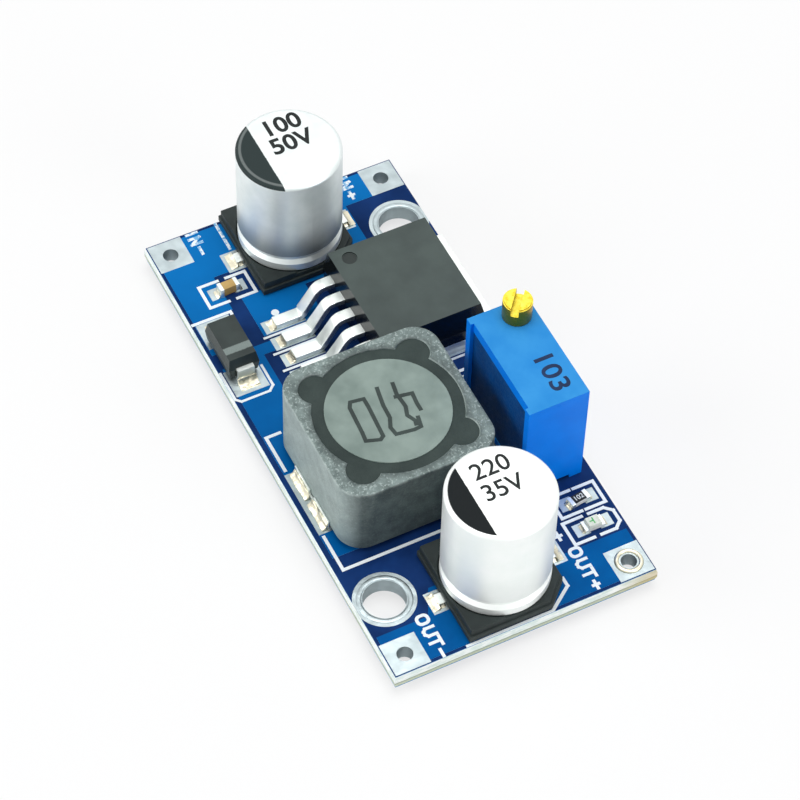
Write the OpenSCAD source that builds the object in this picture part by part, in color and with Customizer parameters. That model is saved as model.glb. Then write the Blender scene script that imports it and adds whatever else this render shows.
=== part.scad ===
// Step-down (buck) converter module: a small two-sided circuit board with its
// power parts soldered on top. The origin is under the centre of the board, on the
// plane that the lowest solder tails reach. The input end is at -X, the output end
// at +X, and the positive wire pads are at +Y.

/* [Board] */
// Thickness of the bare laminate
board_t = 1.2; // [0.8:0.1:2]
// Depth of the score bevel along each board edge
score_depth = 0.35; // [0.2:0.05:0.38]
// Width that the score bevel takes off the top and bottom faces
score_width = 0.1; // [0.05:0.05:0.2]
// Thickness of the copper foil
copper_t = 0.04; // [0.03:0.01:0.07]
// Thickness of the solder mask above the foil
mask_t = 0.03; // [0.02:0.01:0.05]
// Thickness of the printed legend
legend_t = 0.02; // [0.01:0.01:0.03]
// How much lower the solder mask lies where there is no copper under it
mask_relief = 0.015; // [0.005:0.005:0.02]
// Distance from a board edge to the edge of the copper foil
copper_margin = 0.35; // [0.25:0.05:0.6]

/* [Holes and wire pads] */
// Radius of the two plated mounting holes
mount_r = 1.6; // [1.3:0.05:1.7]
// Outer radius of the ring around a mounting hole, cut off at the board edge
mount_ring_r = 2.32; // [2:0.02:2.4]
// Distance from a board end to a mounting hole
mount_from_end = 6.25; // [6:0.25:6.5]
// Distance from a board side to a mounting hole
mount_from_side = 2.3; // [2.3:0.05:2.6]
// Radius of the plated wire holes
wire_r = 0.6; // [0.4:0.05:0.8]
// Side of a square wire pad
wire_pad = 2.75; // [2.2:0.05:2.75]
// Distance from a board end to a wire hole
wire_from_end = 1.55; // [1.55:0.05:1.7]
// Distance from a board side to a wire hole
wire_from_side = 1.55; // [1.55:0.05:1.7]
// Thickness of the copper plated inside each hole
plating_t = 0.05; // [0.03:0.01:0.08]

/* [Spaces between the parts] */
// Distance from the input end of the board to the input capacitor
cap_in_gap = 0; // [0:0.05:0.5]
// Distance from the input capacitor to the regulator
reg_gap = 1.15; // [0.8:0.05:2]
// Distance from the regulator to the inductor
coil_gap = 0.75; // [0.6:0.05:1.5]
// Distance from the inductor to the output capacitor
cap_out_side = 1.8; // [1.5:0.05:3]
// Distance from the output capacitor to the output end of the board
cap_out_gap = 0.3; // [0.3:0.05:1]
// Distance from the board side to the diode
diode_from_side = 0.5; // [0.5:0.05:1]
// Distance from the diode to the feet of the regulator
diode_gap = 2.75; // [2.65:0.05:4]
// Distance from the heat tab to the board side
tab_from_side = 0.35; // [0.3:0.05:1]
// Distance from the board side to the inductor
coil_from_side = 1.45; // [1.4:0.05:2]
// Distance from the inductor to the trimmer across the board
trim_gap = 1.5; // [1.3:0.05:3]
// Distance from the board side to the trimmer
trim_from_side = 0.9; // [0.6:0.01:1.2]
// Distance along the board from the regulator to the trimmer
trim_from_reg = 4; // [4:0.05:4.5]
// Offset of the input capacitor from the middle of the board
cap_in_y = -0.1; // [-0.4:0.05:0.1]
// Offset of the output capacitor from the middle of the board
cap_out_y = -0.35; // [-0.4:0.05:0.1]

/* [Electrolytic capacitors] */
// Diameter of a capacitor can
can_d = 8; // [7:0.1:8]
// Height of the can top above the board
can_top = 10.7; // [8:0.1:12]
// Wall thickness of a can
can_wall = 0.3; // [0.2:0.05:0.4]
// Radius that rounds the edge of the can top
can_edge_r = 0.3; // [0.3:0.05:0.6]
// Height of the pressed groove above the can rim
groove_up = 1.3; // [1.2:0.1:3]
// Depth of the pressed groove
groove_depth = 0.25; // [0.1:0.05:0.3]
// Side of the square plastic base
base_w = 8.3; // [8.2:0.05:8.35]
// Thickness of the base plate
base_plate = 0.95; // [0.8:0.05:1.2]
// Height of the base corner posts above the board
post_top = 1.3; // [1.2:0.05:2.4]
// Length of a corner post along each side of the base
post_l = 2.7; // [2:0.1:2.8]
// Chamfer of the two base corners on the positive side
base_chamfer = 1.7; // [1.1:0.1:1.8]
// Gap between the can and the corner posts
post_gap = 0.12; // [0.05:0.01:0.2]
// Gap between the base and the board
base_lift = 0.1; // [0.05:0.01:0.15]
// Width of a capacitor terminal
tab_w = 0.9; // [0.7:0.1:1.2]
// Thickness of a capacitor terminal
tab_t = 0.3; // [0.2:0.05:0.4]
// Length of a terminal outside the base
tab_out = 0.55; // [0.3:0.05:0.7]
// Distance between the two terminal posts
tab_pitch = 3.1; // [2.8:0.1:3.4]

/* [Regulator] */
// Width of the regulator body along X
reg_w = 10.1; // [9.8:0.05:10.6]
// Length of the regulator body along Y
reg_l = 8.8; // [8.4:0.05:9.4]
// Height of the regulator body
reg_h = 4.5; // [4.2:0.05:4.8]
// Slope taken off each side of the body at its top face
reg_draft = 0.45; // [0.2:0.05:0.5]
// Height of the widest line of the body
reg_parting = 2.5; // [2.3:0.05:2.8]
// Thickness of the heat tab
heat_tab_t = 1.3; // [1.1:0.05:1.4]
// Length of the heat tab outside the body
heat_tab_out = 1.25; // [1:0.05:1.6]
// Pitch of the regulator leads
lead_pitch = 1.7; // [1.7:0.01:1.72]
// Width of a regulator lead
lead_w = 0.9; // [0.7:0.05:1]
// Thickness of a regulator lead
lead_t = 0.5; // [0.4:0.05:0.6]
// Distance from the body to the end of a lead
lead_reach = 4.85; // [4.75:0.05:4.95]
// Length of the flat foot of a lead
lead_foot = 2.2; // [2.1:0.05:2.3]
// Angle of the sloping part of a lead
lead_slope = 59; // [56:1:62]
// Radius of the upper bend of a lead along its middle
lead_bend = 0.75; // [0.6:0.05:0.8]

/* [Inductor] */
// Side of the square shield core
shield_w = 12.3; // [12:0.05:12.8]
// Radius of the upright corners of the shield core
shield_corner = 2; // [1.8:0.1:2.5]
// Height of the inductor top above the board
coil_top = 6.9; // [6:0.1:8]
// Thickness of the shield core at the middle of a side
shield_wall = 0.65; // [0.55:0.05:0.75]
// Gap between the drum core and the shield core
drum_gap = 0.9; // [0.8:0.05:1.1]
// Thickness of the upper drum disc
drum_disc_t = 1.1; // [0.8:0.05:1.4]
// Diameter of the drum core post
drum_post = 4.4; // [4:0.1:5]
// Diameter of the winding wire
wire_d = 0.5; // [0.4:0.05:0.6]
// Depth of the adhesive in the ring gap
glue_depth = 1; // [0.6:0.05:1.1]
// Radius of an adhesive lobe at a shield corner
lobe_r = 1.25; // [1:0.05:1.3]
// Distance of an adhesive lobe from both sides of the shield core
lobe_in = 2.25; // [2.15:0.05:2.35]
// Thickness of the terminal board under the cores
coil_base_t = 0.25; // [0.2:0.05:0.8]
// Width of an inductor terminal
clip_w = 5.6; // [5:0.1:6]
// Thickness of an inductor terminal
clip_t = 0.15; // [0.1:0.01:0.2]
// Height of an inductor terminal above the board
clip_h = 0.9; // [0.9:0.05:1.4]
// Distance of the inductor terminals from the middle of their side
clip_shift = 0.4; // [0:0.05:0.45]

/* [Diode] */
// Length of the diode body
diode_l = 4.3; // [4.1:0.05:4.4]
// Width of the diode body
diode_w = 2.5; // [2.3:0.05:2.6]
// Height of the diode top above the board
diode_top = 2.2; // [2:0.05:2.4]
// Width of a diode lead
diode_lead_w = 1.35; // [1.2:0.05:1.5]
// Thickness of a diode lead
diode_lead_t = 0.22; // [0.15:0.01:0.25]
// Distance that a diode lead stands out from the body
diode_lead_out = 0.35; // [0.3:0.01:0.4]

/* [Chip parts] */
// Length of a chip part
chip_l = 1.6; // [1.5:0.05:1.65]
// Width of a chip part
chip_w = 0.8; // [0.7:0.05:0.9]
// Length of the metal end cap of a chip part
chip_cap = 0.3; // [0.25:0.05:0.4]
// Height of the chip resistors
resistor_h = 0.45; // [0.35:0.05:0.55]
// Height of the chip capacitor
ceramic_h = 0.85; // [0.6:0.05:0.9]
// Height of the indicator lamp
lamp_h = 0.6; // [0.5:0.05:0.8]
// Width of the indicator lamp
lamp_w = 0.9; // [0.8:0.05:1]
// Length of the pads of a chip part
chip_pad_l = 1.05; // [1:0.05:1.1]
// Width of the pads of a chip part
chip_pad_w = 1.1; // [1:0.05:1.15]
// Distance between the pad centres of a chip part
chip_pad_pitch = 1.9; // [1.8:0.05:1.95]

/* [Trimmer] */
// Length of the trimmer along X
trim_l = 9.55; // [9.4:0.05:9.6]
// Depth of the trimmer along Y
trim_w = 4.83; // [4.8:0.01:4.9]
// Height of the trimmer top above the board
trim_top = 9.8; // [9.7:0.05:10]
// Height of the trimmer feet
trim_foot = 0.35; // [0.2:0.05:0.4]
// Depth of the end lips on the open side of the trimmer
lip_depth = 0.25; // [0.15:0.01:0.3]
// Wall thickness of the trimmer housing
trim_wall = 0.6; // [0.55:0.01:0.62]
// Distance from the trimmer end to the screw axis
screw_from_end = 1.25; // [1.24:0.01:1.3]
// Distance from the trimmer back to the screw axis
screw_from_back = 1.45; // [1.42:0.01:1.5]
// Diameter of the adjusting screw head
screw_head_d = 2.2; // [2:0.05:2.3]
// Height of the screw head
screw_head_h = 1.75; // [1.4:0.05:1.8]
// Width of the screwdriver slot
slot_w = 0.6; // [0.4:0.05:0.7]
// Depth of the screwdriver slot
slot_depth = 0.7; // [0.4:0.05:0.9]
// Angle of the screwdriver slot at rest
slot_angle = -40; // [-90:1:90]
// Diameter of the screw shank in the housing
shank_d = 1.8; // [1.7:0.01:1.85]
// Diameter of the screw core where it drives the wheel
worm_d = 1.3; // [1.1:0.01:1.3]
// Running clearance of the trimmer pieces
run_gap = 0.03; // [0.02:0.01:0.05]
// Number of teeth of the wiper wheel
wheel_teeth = 30; // [28:1:32]
// Outer radius of the wiper wheel
wheel_r = 3.45; // [3.4:0.01:3.5]
// Depth of the wheel teeth
tooth_depth = 0.35; // [0.2:0.01:0.4]
// Thickness of the wiper wheel
wheel_t = 1.2; // [1:0.05:1.3]
// Radius of the pivot that carries the wheel
pivot_r = 0.8; // [0.6:0.05:1]
// Thickness of the ceramic element plate
element_t = 0.7; // [0.5:0.05:0.8]
// Side of the ceramic element plate
element_w = 7.8; // [7.4:0.05:7.9]
// Diameter of a trimmer pin
pin_d = 0.5; // [0.4:0.02:0.6]
// Pitch of the trimmer pins
pin_pitch = 2.54; // [2.5:0.01:2.58]
// Length of the soldered pin tails under the board
pin_tail = 0.7; // [0.6:0.05:1.2]
// Radius of the pin pads
pin_pad_r = 0.9; // [0.8:0.05:1]

/* [Hidden] */
$fn = 48;
// Heights: resting plane 0, then board underside, laminate, and the top of the mask
film_t = copper_t + mask_t;
lam_z = pin_tail + film_t;
seat_z = lam_z + board_t + film_t;
total_t = board_t + 2 * film_t;
tiny = 0.001;

// The board is as long as its row of parts, and as wide as the wider of its two columns:
// the diode with the regulator, or the inductor with the trimmer
board_l = cap_in_gap + base_w + reg_gap + reg_w + coil_gap + shield_w + cap_out_side + base_w + cap_out_gap;
reg_column = diode_from_side + diode_w + diode_gap + lead_reach + reg_l + heat_tab_out + tab_from_side;
coil_column = coil_from_side + shield_w + trim_gap + trim_w + trim_from_side;
board_w = max(reg_column, coil_column);
half_l = board_l / 2;
half_w = board_w / 2;

// Places worked out from the board and the spaces between the parts
mount_x = half_l - mount_from_end;
mount_y = half_w - mount_from_side;
wire_x = half_l - wire_from_end;
wire_y = half_w - wire_from_side;
cap_in_x = -half_l + cap_in_gap + base_w / 2;
reg_x = cap_in_x + base_w / 2 + reg_gap + reg_w / 2;
reg_y = -half_w + diode_from_side + diode_w + diode_gap + lead_reach;
coil_x = reg_x + reg_w / 2 + coil_gap + shield_w / 2;
coil_y = -half_w + coil_from_side + shield_w / 2;
cap_out_x = half_l - cap_out_gap - base_w / 2;
diode_x = reg_x - 2.15;
diode_y = -half_w + diode_from_side + diode_w / 2;
trim_x = reg_x + reg_w / 2 + trim_from_reg;

// Pads under the capacitors, the regulator, the inductor and the diode
cap_pad_w = 1.9;
cap_pad_l = 3.6;
cap_pad_out = 1.2;
cap_pads_y = (cap_in_y + cap_out_y) / 2 - 0.05;
reg_pad_w = lead_w + 0.3;
reg_pad_out = 0.85;
reg_pad_l = lead_foot + reg_pad_out + 0.2;
shield_bore = shield_w - 2 * shield_wall;
drum_d = shield_bore - 2 * drum_gap;
lobe_at = shield_w / 2 - lobe_in;
coil_pad_l = 2.4;
coil_pad_out = 0.95;
diode_pad_l = 2.5;
diode_pad_w = diode_w + 0.2;
diode_pad_out = 1.2;

// Chip parts: place, turn about Z, and the slight skew that each one has
ceramic_at = [cap_in_x + 2.45, cap_in_y - 6.35];
ceramic_turn = 92;
series_at = [trim_x + trim_l + 2.15, half_w - 2.3];
series_turn = 98;
series_pads = series_at - [0.1, 0.02];
divider_at = [trim_x - 1.53, half_w - 3.7];
divider_turn = 90;
lamp_at = [series_at[0] + 2.32, half_w - 2.37];
lamp_turn = 90;
ceramic_pads = ceramic_at - [0.12, 0.01];

// Trimmer: all places come from its two outer corners and the screw
trim_y1 = half_w - trim_from_side;
trim_y0 = trim_y1 - trim_w;
trim_face = trim_y0 + lip_depth;
trim_x1 = trim_x + trim_l;
screw_x = trim_x + screw_from_end;
screw_y = trim_y1 - screw_from_back;
wheel_x = screw_x + worm_d / 2 + 0.05 + wheel_r;
wheel_z = seat_z + trim_foot + trim_wall + 0.2 + wheel_r;
wheel_y1 = screw_y + wheel_t / 2;
wheel_y0 = wheel_y1 - wheel_t;
element_y1 = wheel_y0 - 0.75;
element_y0 = element_y1 - element_t;
pin_y = element_y0 - pin_d / 2;
pin_x = trim_x + trim_l / 2;
window_x0 = trim_x + trim_wall;
window_x1 = trim_x1 - trim_wall;
window_z0 = seat_z + trim_foot + trim_wall;
pin_top = window_z0 + 1.6;
housing_top = seat_z + trim_top;
o_ring_z = housing_top - 0.75;
o_ring_h = 0.4;
o_ring_core = 1.1;

// Regulator: middle of the leads where they leave the body, and the die
lead_z = seat_z + reg_parting + 0.12;
die_w = 3;
die_t = 0.25;

// Height of the diode leads where they leave the body
diode_mid = 1.05;

// Legend strokes
line_w = 0.25;
letter_w = 0.24;
letter_h = 0.82;

// ---------------------------------------------------------------- small helpers

// A box given by its lowest and highest corners
module box(low, high) {
    translate(low) cube(high - low);
}

// A rectangle given by its lowest and highest corners
module rect(low, high) {
    translate(low) square(high - low);
}

// A straight line of the legend, square at its ends
module stroke(a, b, w = line_w) {
    along = b - a;
    translate(a)
        rotate(atan2(along[1], along[0]))
            translate([-w / 2, -w / 2])
                square([norm(along) + w, w]);
}

// A run of straight legend lines through a list of points
module trace(points, w = line_w) {
    for (i = [0 : len(points) - 2]) stroke(points[i], points[i + 1], w);
}

// A rectangle with round corners
module round_rect(w, l, r) {
    square([w - 2 * r, l], center = true);
    square([w, l - 2 * r], center = true);
    for (sx = [-1, 1], sy = [-1, 1])
        translate([sx * (w / 2 - r), sy * (l / 2 - r)]) circle(r);
}

// A moulded block with sloping sides: the cross of two extruded profiles. The side at
// -Y may slope less than the others above the parting line.
module moulded_block(w, l, h, parting, top_draft, low_draft, near_draft) {
    intersection() {
        translate([0, l / 2, 0])
            rotate([90, 0, 0])
                linear_extrude(l) moulded_profile(w, h, parting, top_draft, low_draft, top_draft);
        translate([-w / 2, 0, 0])
            rotate([90, 0, 90])
                linear_extrude(w) moulded_profile(l, h, parting, top_draft, low_draft, near_draft);
    }
}

module moulded_profile(w, h, parting, top_draft, low_draft, near_draft) {
    polygon([
        [-w / 2 + low_draft, 0], [w / 2 - low_draft, 0], [w / 2, parting],
        [w / 2 - top_draft, h], [-w / 2 + near_draft, h], [-w / 2, parting]]);
}

// Solder that climbs from a pad to a piece: a wedge with a hollow face, rising
// towards -X, with its foot on the pad and its back against the piece
module fillet_wedge(run, rise, width) {
    steps = 5;
    curve = [for (i = [0 : steps]) [run * (1 - sin(90 * i / steps)), rise * (1 - cos(90 * i / steps))]];
    translate([0, width / 2, 0])
        rotate([90, 0, 0])
            linear_extrude(width) polygon(concat([[0, 0]], curve));
}

// ---------------------------------------------------------------- board outlines

module at_wire_holes() {
    for (sx = [-1, 1], sy = [-1, 1]) translate([sx * wire_x, sy * wire_y]) children();
}

// The mounting holes sit in two opposite corners, each with the board side at its -Y
module at_mount_holes() {
    for (turn = [0, 180]) rotate(turn) translate([mount_x, -mount_y]) children();
}

module mount_ring() {
    intersection() {
        circle(mount_ring_r);
        rect([-mount_ring_r - 1, -mount_from_side + score_width], [mount_ring_r + 1, mount_ring_r + 1]);
    }
}

module at_trimmer_pins() {
    for (i = [-1 : 1]) translate([pin_x + i * pin_pitch, pin_y]) children();
}

// Pads of a part with two ends, seen with its ends along X
module chip_pads(at, turn = 90) {
    translate(at)
        rotate(turn)
            for (s = [-1, 1])
                translate([s * chip_pad_pitch / 2, 0]) square([chip_pad_l, chip_pad_w], center = true);
}

module capacitor_pads(x) {
    for (s = [-1, 1])
        translate([x, cap_pads_y + s * (base_w / 2 + cap_pad_out - cap_pad_l / 2)])
            square([cap_pad_w, cap_pad_l], center = true);
}

module regulator_lead_pads() {
    for (i = [-2 : 2])
        translate([reg_x + i * lead_pitch, reg_y - lead_reach - reg_pad_out + reg_pad_l / 2])
            square([reg_pad_w, reg_pad_l], center = true);
}

module regulator_tab_pad() {
    low = reg_y + reg_l - 1.3;
    rect([reg_x - reg_w / 2 - 1, low], [reg_x + reg_w / 2 + 1, half_w - copper_margin]);
    rect([reg_x - reg_w / 2, reg_y + 2.2], [reg_x + reg_w / 2, low + tiny]);
}

module inductor_pads() {
    for (s = [-1, 1])
        translate([coil_x + clip_shift + 0.05, coil_y + s * (shield_w / 2 + coil_pad_out - coil_pad_l / 2)])
            square([clip_w + 0.25, coil_pad_l], center = true);
}

module diode_pads() {
    for (s = [-1, 1])
        translate([diode_x + s * (diode_l / 2 + diode_lead_out + diode_pad_out - diode_pad_l / 2), diode_y])
            square([diode_pad_l, diode_pad_w], center = true);
}

module surface_pads() {
    capacitor_pads(cap_in_x);
    capacitor_pads(cap_out_x);
    regulator_lead_pads();
    regulator_tab_pad();
    inductor_pads();
    diode_pads();
    chip_pads(ceramic_pads);
    chip_pads(series_pads);
    chip_pads(divider_at);
    chip_pads(lamp_at);
}

module plated_areas() {
    at_wire_holes() square(wire_pad, center = true);
    at_mount_holes() mount_ring();
    at_trimmer_pins() circle(pin_pad_r);
}

module drilled_holes() {
    at_wire_holes() circle(wire_r + plating_t);
    at_mount_holes() circle(mount_r + plating_t);
    at_trimmer_pins() circle(pin_d / 2 + 0.2 + plating_t);
}

// Copper fields of the top side. They end at the copper margin.
module copper_fields() {
    edge_x = half_l - copper_margin;
    edge_y = half_w - copper_margin;
    pad_x = wire_x - wire_pad / 2;
    pad_y = wire_y - wire_pad / 2;
    lead_1 = reg_x - 2 * lead_pitch;
    lead_2 = reg_x - lead_pitch;
    feet_y = reg_y - lead_reach;
    // Input return, from the wire pad to the diode
    polygon([
        [-edge_x, -edge_y], [diode_x - 3.95, -edge_y], [diode_x - 3.95, ceramic_at[1] - 0.45],
        [cap_in_x + 0.8, ceramic_at[1] - 0.45], [cap_in_x + 0.8, cap_in_y - base_w / 2 + 0.1],
        [-edge_x, cap_in_y - base_w / 2 + 0.1]]);
    rect([diode_x - 4.2, -edge_y], [diode_x - 0.6, diode_y + 1.35]);
    // Supply, from the positive wire pad under the input capacitor to the first lead
    polygon([
        [-edge_x, edge_y], [-pad_x, edge_y], [-pad_x, cap_in_y + base_w / 2 + 1.2],
        [0.9 - mount_x, cap_in_y + base_w / 2 + 1.2], [lead_1 - 2.6, cap_in_y + 3],
        [lead_1 - 2.6, reg_y - 1], [lead_1 + 0.65, reg_y - 1], [lead_1 + 0.65, feet_y - 1.1],
        [ceramic_at[0] + 1, feet_y - 1.1], [ceramic_at[0] + 1, cap_in_y + 3.4], [-edge_x, cap_in_y + 3.4]]);
    // Switching field, from the second lead to the diode and the inductor
    polygon([
        [lead_2 - 0.5, reg_y - 3], [lead_2 + 0.5, reg_y - 3], [lead_2 + 0.5, feet_y - 1.85],
        [lead_2 + 6.7, feet_y - 1.85], [lead_2 + 7.3, feet_y - 2.65], [coil_x + clip_w, feet_y - 2.65],
        [coil_x + clip_w, -edge_y + 0.15], [diode_x + 0.9, -edge_y + 0.15],
        [diode_x + 0.9, feet_y - 2.4], [lead_2 - 0.5, feet_y - 2.4]]);
    // Output, from the inductor to the positive output pad
    polygon([
        [coil_x - clip_w / 2 - 0.5, coil_y + 5.1], [cap_out_x + 1.5, coil_y + 5.1],
        [cap_out_x + 1.5, cap_out_y + 2.25], [edge_x, cap_out_y + 2.25], [edge_x, edge_y],
        [pad_x - 1.2, edge_y], [pad_x - 1.2, cap_out_y + base_w / 2 + 0.35],
        [coil_x - clip_w / 2 - 0.5, cap_out_y + base_w / 2 + 0.35]]);
    // Output return around the negative output pad
    polygon([
        [edge_x, -edge_y], [pad_x - 0.7, -edge_y], [pad_x - 0.7, -pad_y + 1.5],
        [cap_out_x - 1.3, cap_out_y - base_w / 2 - 0.5], [cap_out_x - 1.3, cap_out_y - 2.15],
        [edge_x, cap_out_y - 2.15]]);
}

// ---------------------------------------------------------------- board pieces

// Bare glass-fibre board. Each edge is scored top and bottom and keeps a middle web.
module laminate() {
    color("palegoldenrod")
        difference() {
            intersection() {
                translate([0, half_w, lam_z])
                    rotate([90, 0, 0])
                        linear_extrude(board_w) scored_profile(board_l);
                translate([-half_l, 0, lam_z])
                    rotate([90, 0, 90])
                        linear_extrude(board_l) scored_profile(board_w);
            }
            translate([0, 0, lam_z - 1]) linear_extrude(board_t + 2) drilled_holes();
        }
}

module scored_profile(w) {
    edge = w / 2;
    polygon([
        [-edge + score_width, 0], [edge - score_width, 0], [edge, score_depth],
        [edge, board_t - score_depth], [edge - score_width, board_t],
        [-edge + score_width, board_t], [-edge, board_t - score_depth], [-edge, score_depth]]);
}

module film_outline() {
    square([board_l - 2 * score_width, board_w - 2 * score_width], center = true);
}

module copper_shape() {
    difference() {
        union() {
            copper_fields();
            surface_pads();
        }
        plated_areas();
    }
}

module copper_top() {
    color("peru") translate([0, 0, lam_z + board_t]) linear_extrude(copper_t) copper_shape();
}

module tinned_pads() {
    color("gainsboro")
        translate([0, 0, seat_z - mask_t])
            linear_extrude(mask_t)
                difference() {
                    surface_pads();
                    plated_areas();
                }
}

// The mask follows the foil: it lies a little lower between the copper fields
module mask_top() {
    color("royalblue")
        translate([0, 0, seat_z - film_t])
            difference() {
                union() {
                    linear_extrude(film_t - mask_relief) mask_outline();
                    linear_extrude(film_t)
                        intersection() {
                            mask_outline();
                            copper_shape();
                        }
                }
                translate([0, 0, -1]) linear_extrude(1 + copper_t) copper_shape();
            }
}

module mask_outline() {
    difference() {
        film_outline();
        plated_areas();
        surface_pads();
    }
}

// The underside is one return field with a rail for the output
module copper_bottom_shape() {
    difference() {
        square([board_l - 2 * copper_margin, board_w - 2 * copper_margin], center = true);
        for (sx = [-1, 1])
            translate([sx * wire_x, wire_y]) square(wire_pad + 1, center = true);
        plated_areas();
        at_trimmer_pins() circle(pin_pad_r + 0.3);
    }
}

module copper_bottom() {
    color("peru") translate([0, 0, lam_z - copper_t]) linear_extrude(copper_t) copper_bottom_shape();
}

module mask_bottom() {
    color("royalblue")
        translate([0, 0, lam_z - film_t])
            difference() {
                linear_extrude(film_t)
                    difference() {
                        film_outline();
                        plated_areas();
                    }
                translate([0, 0, mask_t]) linear_extrude(1) copper_bottom_shape();
            }
}

// Plating of a hole: a barrel with a flat ring or pad on each face, in one piece
module hole_plating(inner_r) {
    difference() {
        union() {
            for (z = [pin_tail, seat_z - film_t]) translate([0, 0, z]) linear_extrude(film_t) children();
            translate([0, 0, pin_tail]) cylinder(r = inner_r + plating_t, h = total_t);
        }
        translate([0, 0, pin_tail - 1]) cylinder(r = inner_r, h = total_t + 2);
    }
}

module mounting_hole_plating() {
    color("silver") at_mount_holes() hole_plating(mount_r) mount_ring();
}

module wire_hole_plating() {
    color("silver") at_wire_holes() hole_plating(wire_r) square(wire_pad, center = true);
}

module pin_hole_plating() {
    color("silver") at_trimmer_pins() hole_plating(pin_d / 2 + 0.2) circle(pin_pad_r);
}

// Bracket lines at the two ends of a chip part: half its outline each, open inwards
module chip_brackets(at, reach, half, gap) {
    translate(at)
        rotate(90)
            for (s = [-1, 1])
                trace([[s * gap, half], [s * reach, half], [s * reach, -half], [s * gap, -half]]);
}

// Outline around a capacitor base on its outer side s, broken at its pads
module capacitor_outline(x, y, s, foot_line) {
    out_x = base_w / 2 + 0.12;
    edge = base_w / 2 + 0.2;
    gap = cap_pad_w / 2 + 0.3;
    translate([x, y])
        scale([s, 1]) {
            trace([[gap + 0.9, edge], [out_x - 1.42, edge], [out_x, edge - 1.95], [out_x, -edge]]);
            if (foot_line) trace([[out_x, -edge], [gap, -edge]]);
        }
}

module letter_i() {
    stroke([0, 0], [0, letter_h], letter_w);
}

module letter_n() {
    trace([[0, 0], [0, letter_h], [0.55, 0], [0.55, letter_h]], letter_w);
}

module letter_o() {
    difference() {
        translate([0.35, letter_h / 2]) round_rect(0.7 + letter_w, letter_h + letter_w, 0.4);
        translate([0.35, letter_h / 2]) round_rect(0.7 - letter_w, letter_h - letter_w, 0.2);
    }
}

module letter_u() {
    trace([[0, letter_h], [0, 0.2], [0.2, 0], [0.45, 0], [0.65, 0.2], [0.65, letter_h]], letter_w);
}

module letter_t() {
    stroke([0.35, 0], [0.35, letter_h], letter_w);
    stroke([0, letter_h], [0.7, letter_h], letter_w);
}

module sign_mark(plus) {
    stroke([0, letter_h / 2], [0.65, letter_h / 2], letter_w);
    if (plus) stroke([0.325, 0.2], [0.325, letter_h - 0.2], letter_w);
}

module word_out(plus) {
    letter_o();
    translate([1.12, 0]) letter_u();
    translate([2.03, 0]) letter_t();
    translate([3.1, 0]) sign_mark(plus);
}

module word_in(plus) {
    letter_i();
    translate([0.5, 0]) letter_n();
    translate([1.5, 0]) sign_mark(plus);
}

module legend_shape() {
    coil_edge = shield_w / 2 + 0.7;
    clip_gap = clip_w / 2 + 0.45;
    // Words beside the wire pads
    translate([half_l - 4.23, half_w - 5.03]) word_out(true);
    translate([half_l - 3.88, -half_w + 3.52]) word_out(false);
    translate([-half_l + 0.32, half_w - 4.78]) word_in(true);
    translate([-half_l + 0.32, -half_w + 3.42]) word_in(false);
    // Outlines of the capacitors, and the plus mark of the output one
    capacitor_outline(cap_in_x, cap_in_y - 0.15, -1, true);
    capacitor_outline(cap_out_x, cap_out_y, 1, false);
    translate([cap_out_x - 1.5, cap_out_y + base_w / 2 + 1.2]) sign_mark(true);
    // Outline of the inductor, broken at its terminals
    translate([coil_x, coil_y])
        for (s = [-1, 1])
            trace([
                [-clip_gap + clip_shift, s * coil_edge], [-coil_edge + 0.75, s * coil_edge],
                [-coil_edge + 0.75, s * (shield_w / 2 - 0.4)]]);
    translate([coil_x, coil_y])
        trace([
            [clip_gap + clip_shift, -coil_edge], [coil_edge - 0.05, -coil_edge],
            [coil_edge - 0.05, coil_edge], [clip_gap + clip_shift, coil_edge]]);
    // Side lines of the regulator, the bars between its pads and the dot at its first lead
    for (s = [-1, 1])
        translate([reg_x + s * (reg_w / 2 + 0.25), reg_y]) stroke([0, 0.6], [0, reg_l - 1.5], 0.2);
    for (i = [-1.5 : 1 : 0.5])
        translate([reg_x + i * lead_pitch, reg_y])
            stroke([0, -2.4], [0, -lead_reach - 1.15], 0.2);
    translate([reg_x - 2 * lead_pitch - 1.05, reg_y - lead_reach + 0.6]) circle(0.3);
    // Outline of the diode, with cut corners at its banded end
    translate([diode_x, diode_y]) {
        trace([[-3.55, 1.6], [-3.85, 1.6], [-3.85, -1.5]]);
        trace([[1.8, 1.55], [3.8, 1.55], [4.2, 1.1], [4.2, -1.2], [3.85, -1.55], [1.2, -1.55]], 0.2);
    }
    chip_brackets(ceramic_pads, 1.9, 1.08, 0.36);
    chip_brackets(series_pads, 1.78, 1, 0.18);
    chip_brackets(divider_at, 1.78, 1, 0.2);
    // The lamp has a square end and a cut end
    translate(lamp_at)
        rotate(90) {
            trace([[-0.4, 1], [-1.95, 1], [-1.95, -1], [-0.4, -1]]);
            trace([[0.2, 1], [1.4, 1], [1.95, 0.5], [1.95, -0.5], [1.4, -1], [0.2, -1]]);
        }
}

module legend() {
    color("white")
        translate([0, 0, seat_z])
            linear_extrude(legend_t)
                difference() {
                    intersection() {
                        legend_shape();
                        film_outline();
                    }
                    plated_areas();
                    surface_pads();
                }
}

// ---------------------------------------------------------------- electrolytic capacitors

// The base seen from above: a square with two corners cut on the positive side
module base_outline(grow = 0) {
    e = base_w / 2 + grow;
    c = base_chamfer;
    polygon([[-e, -e], [e, -e], [e, e - c], [e - c, e], [-e + c, e], [-e, e - c]]);
}

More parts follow.
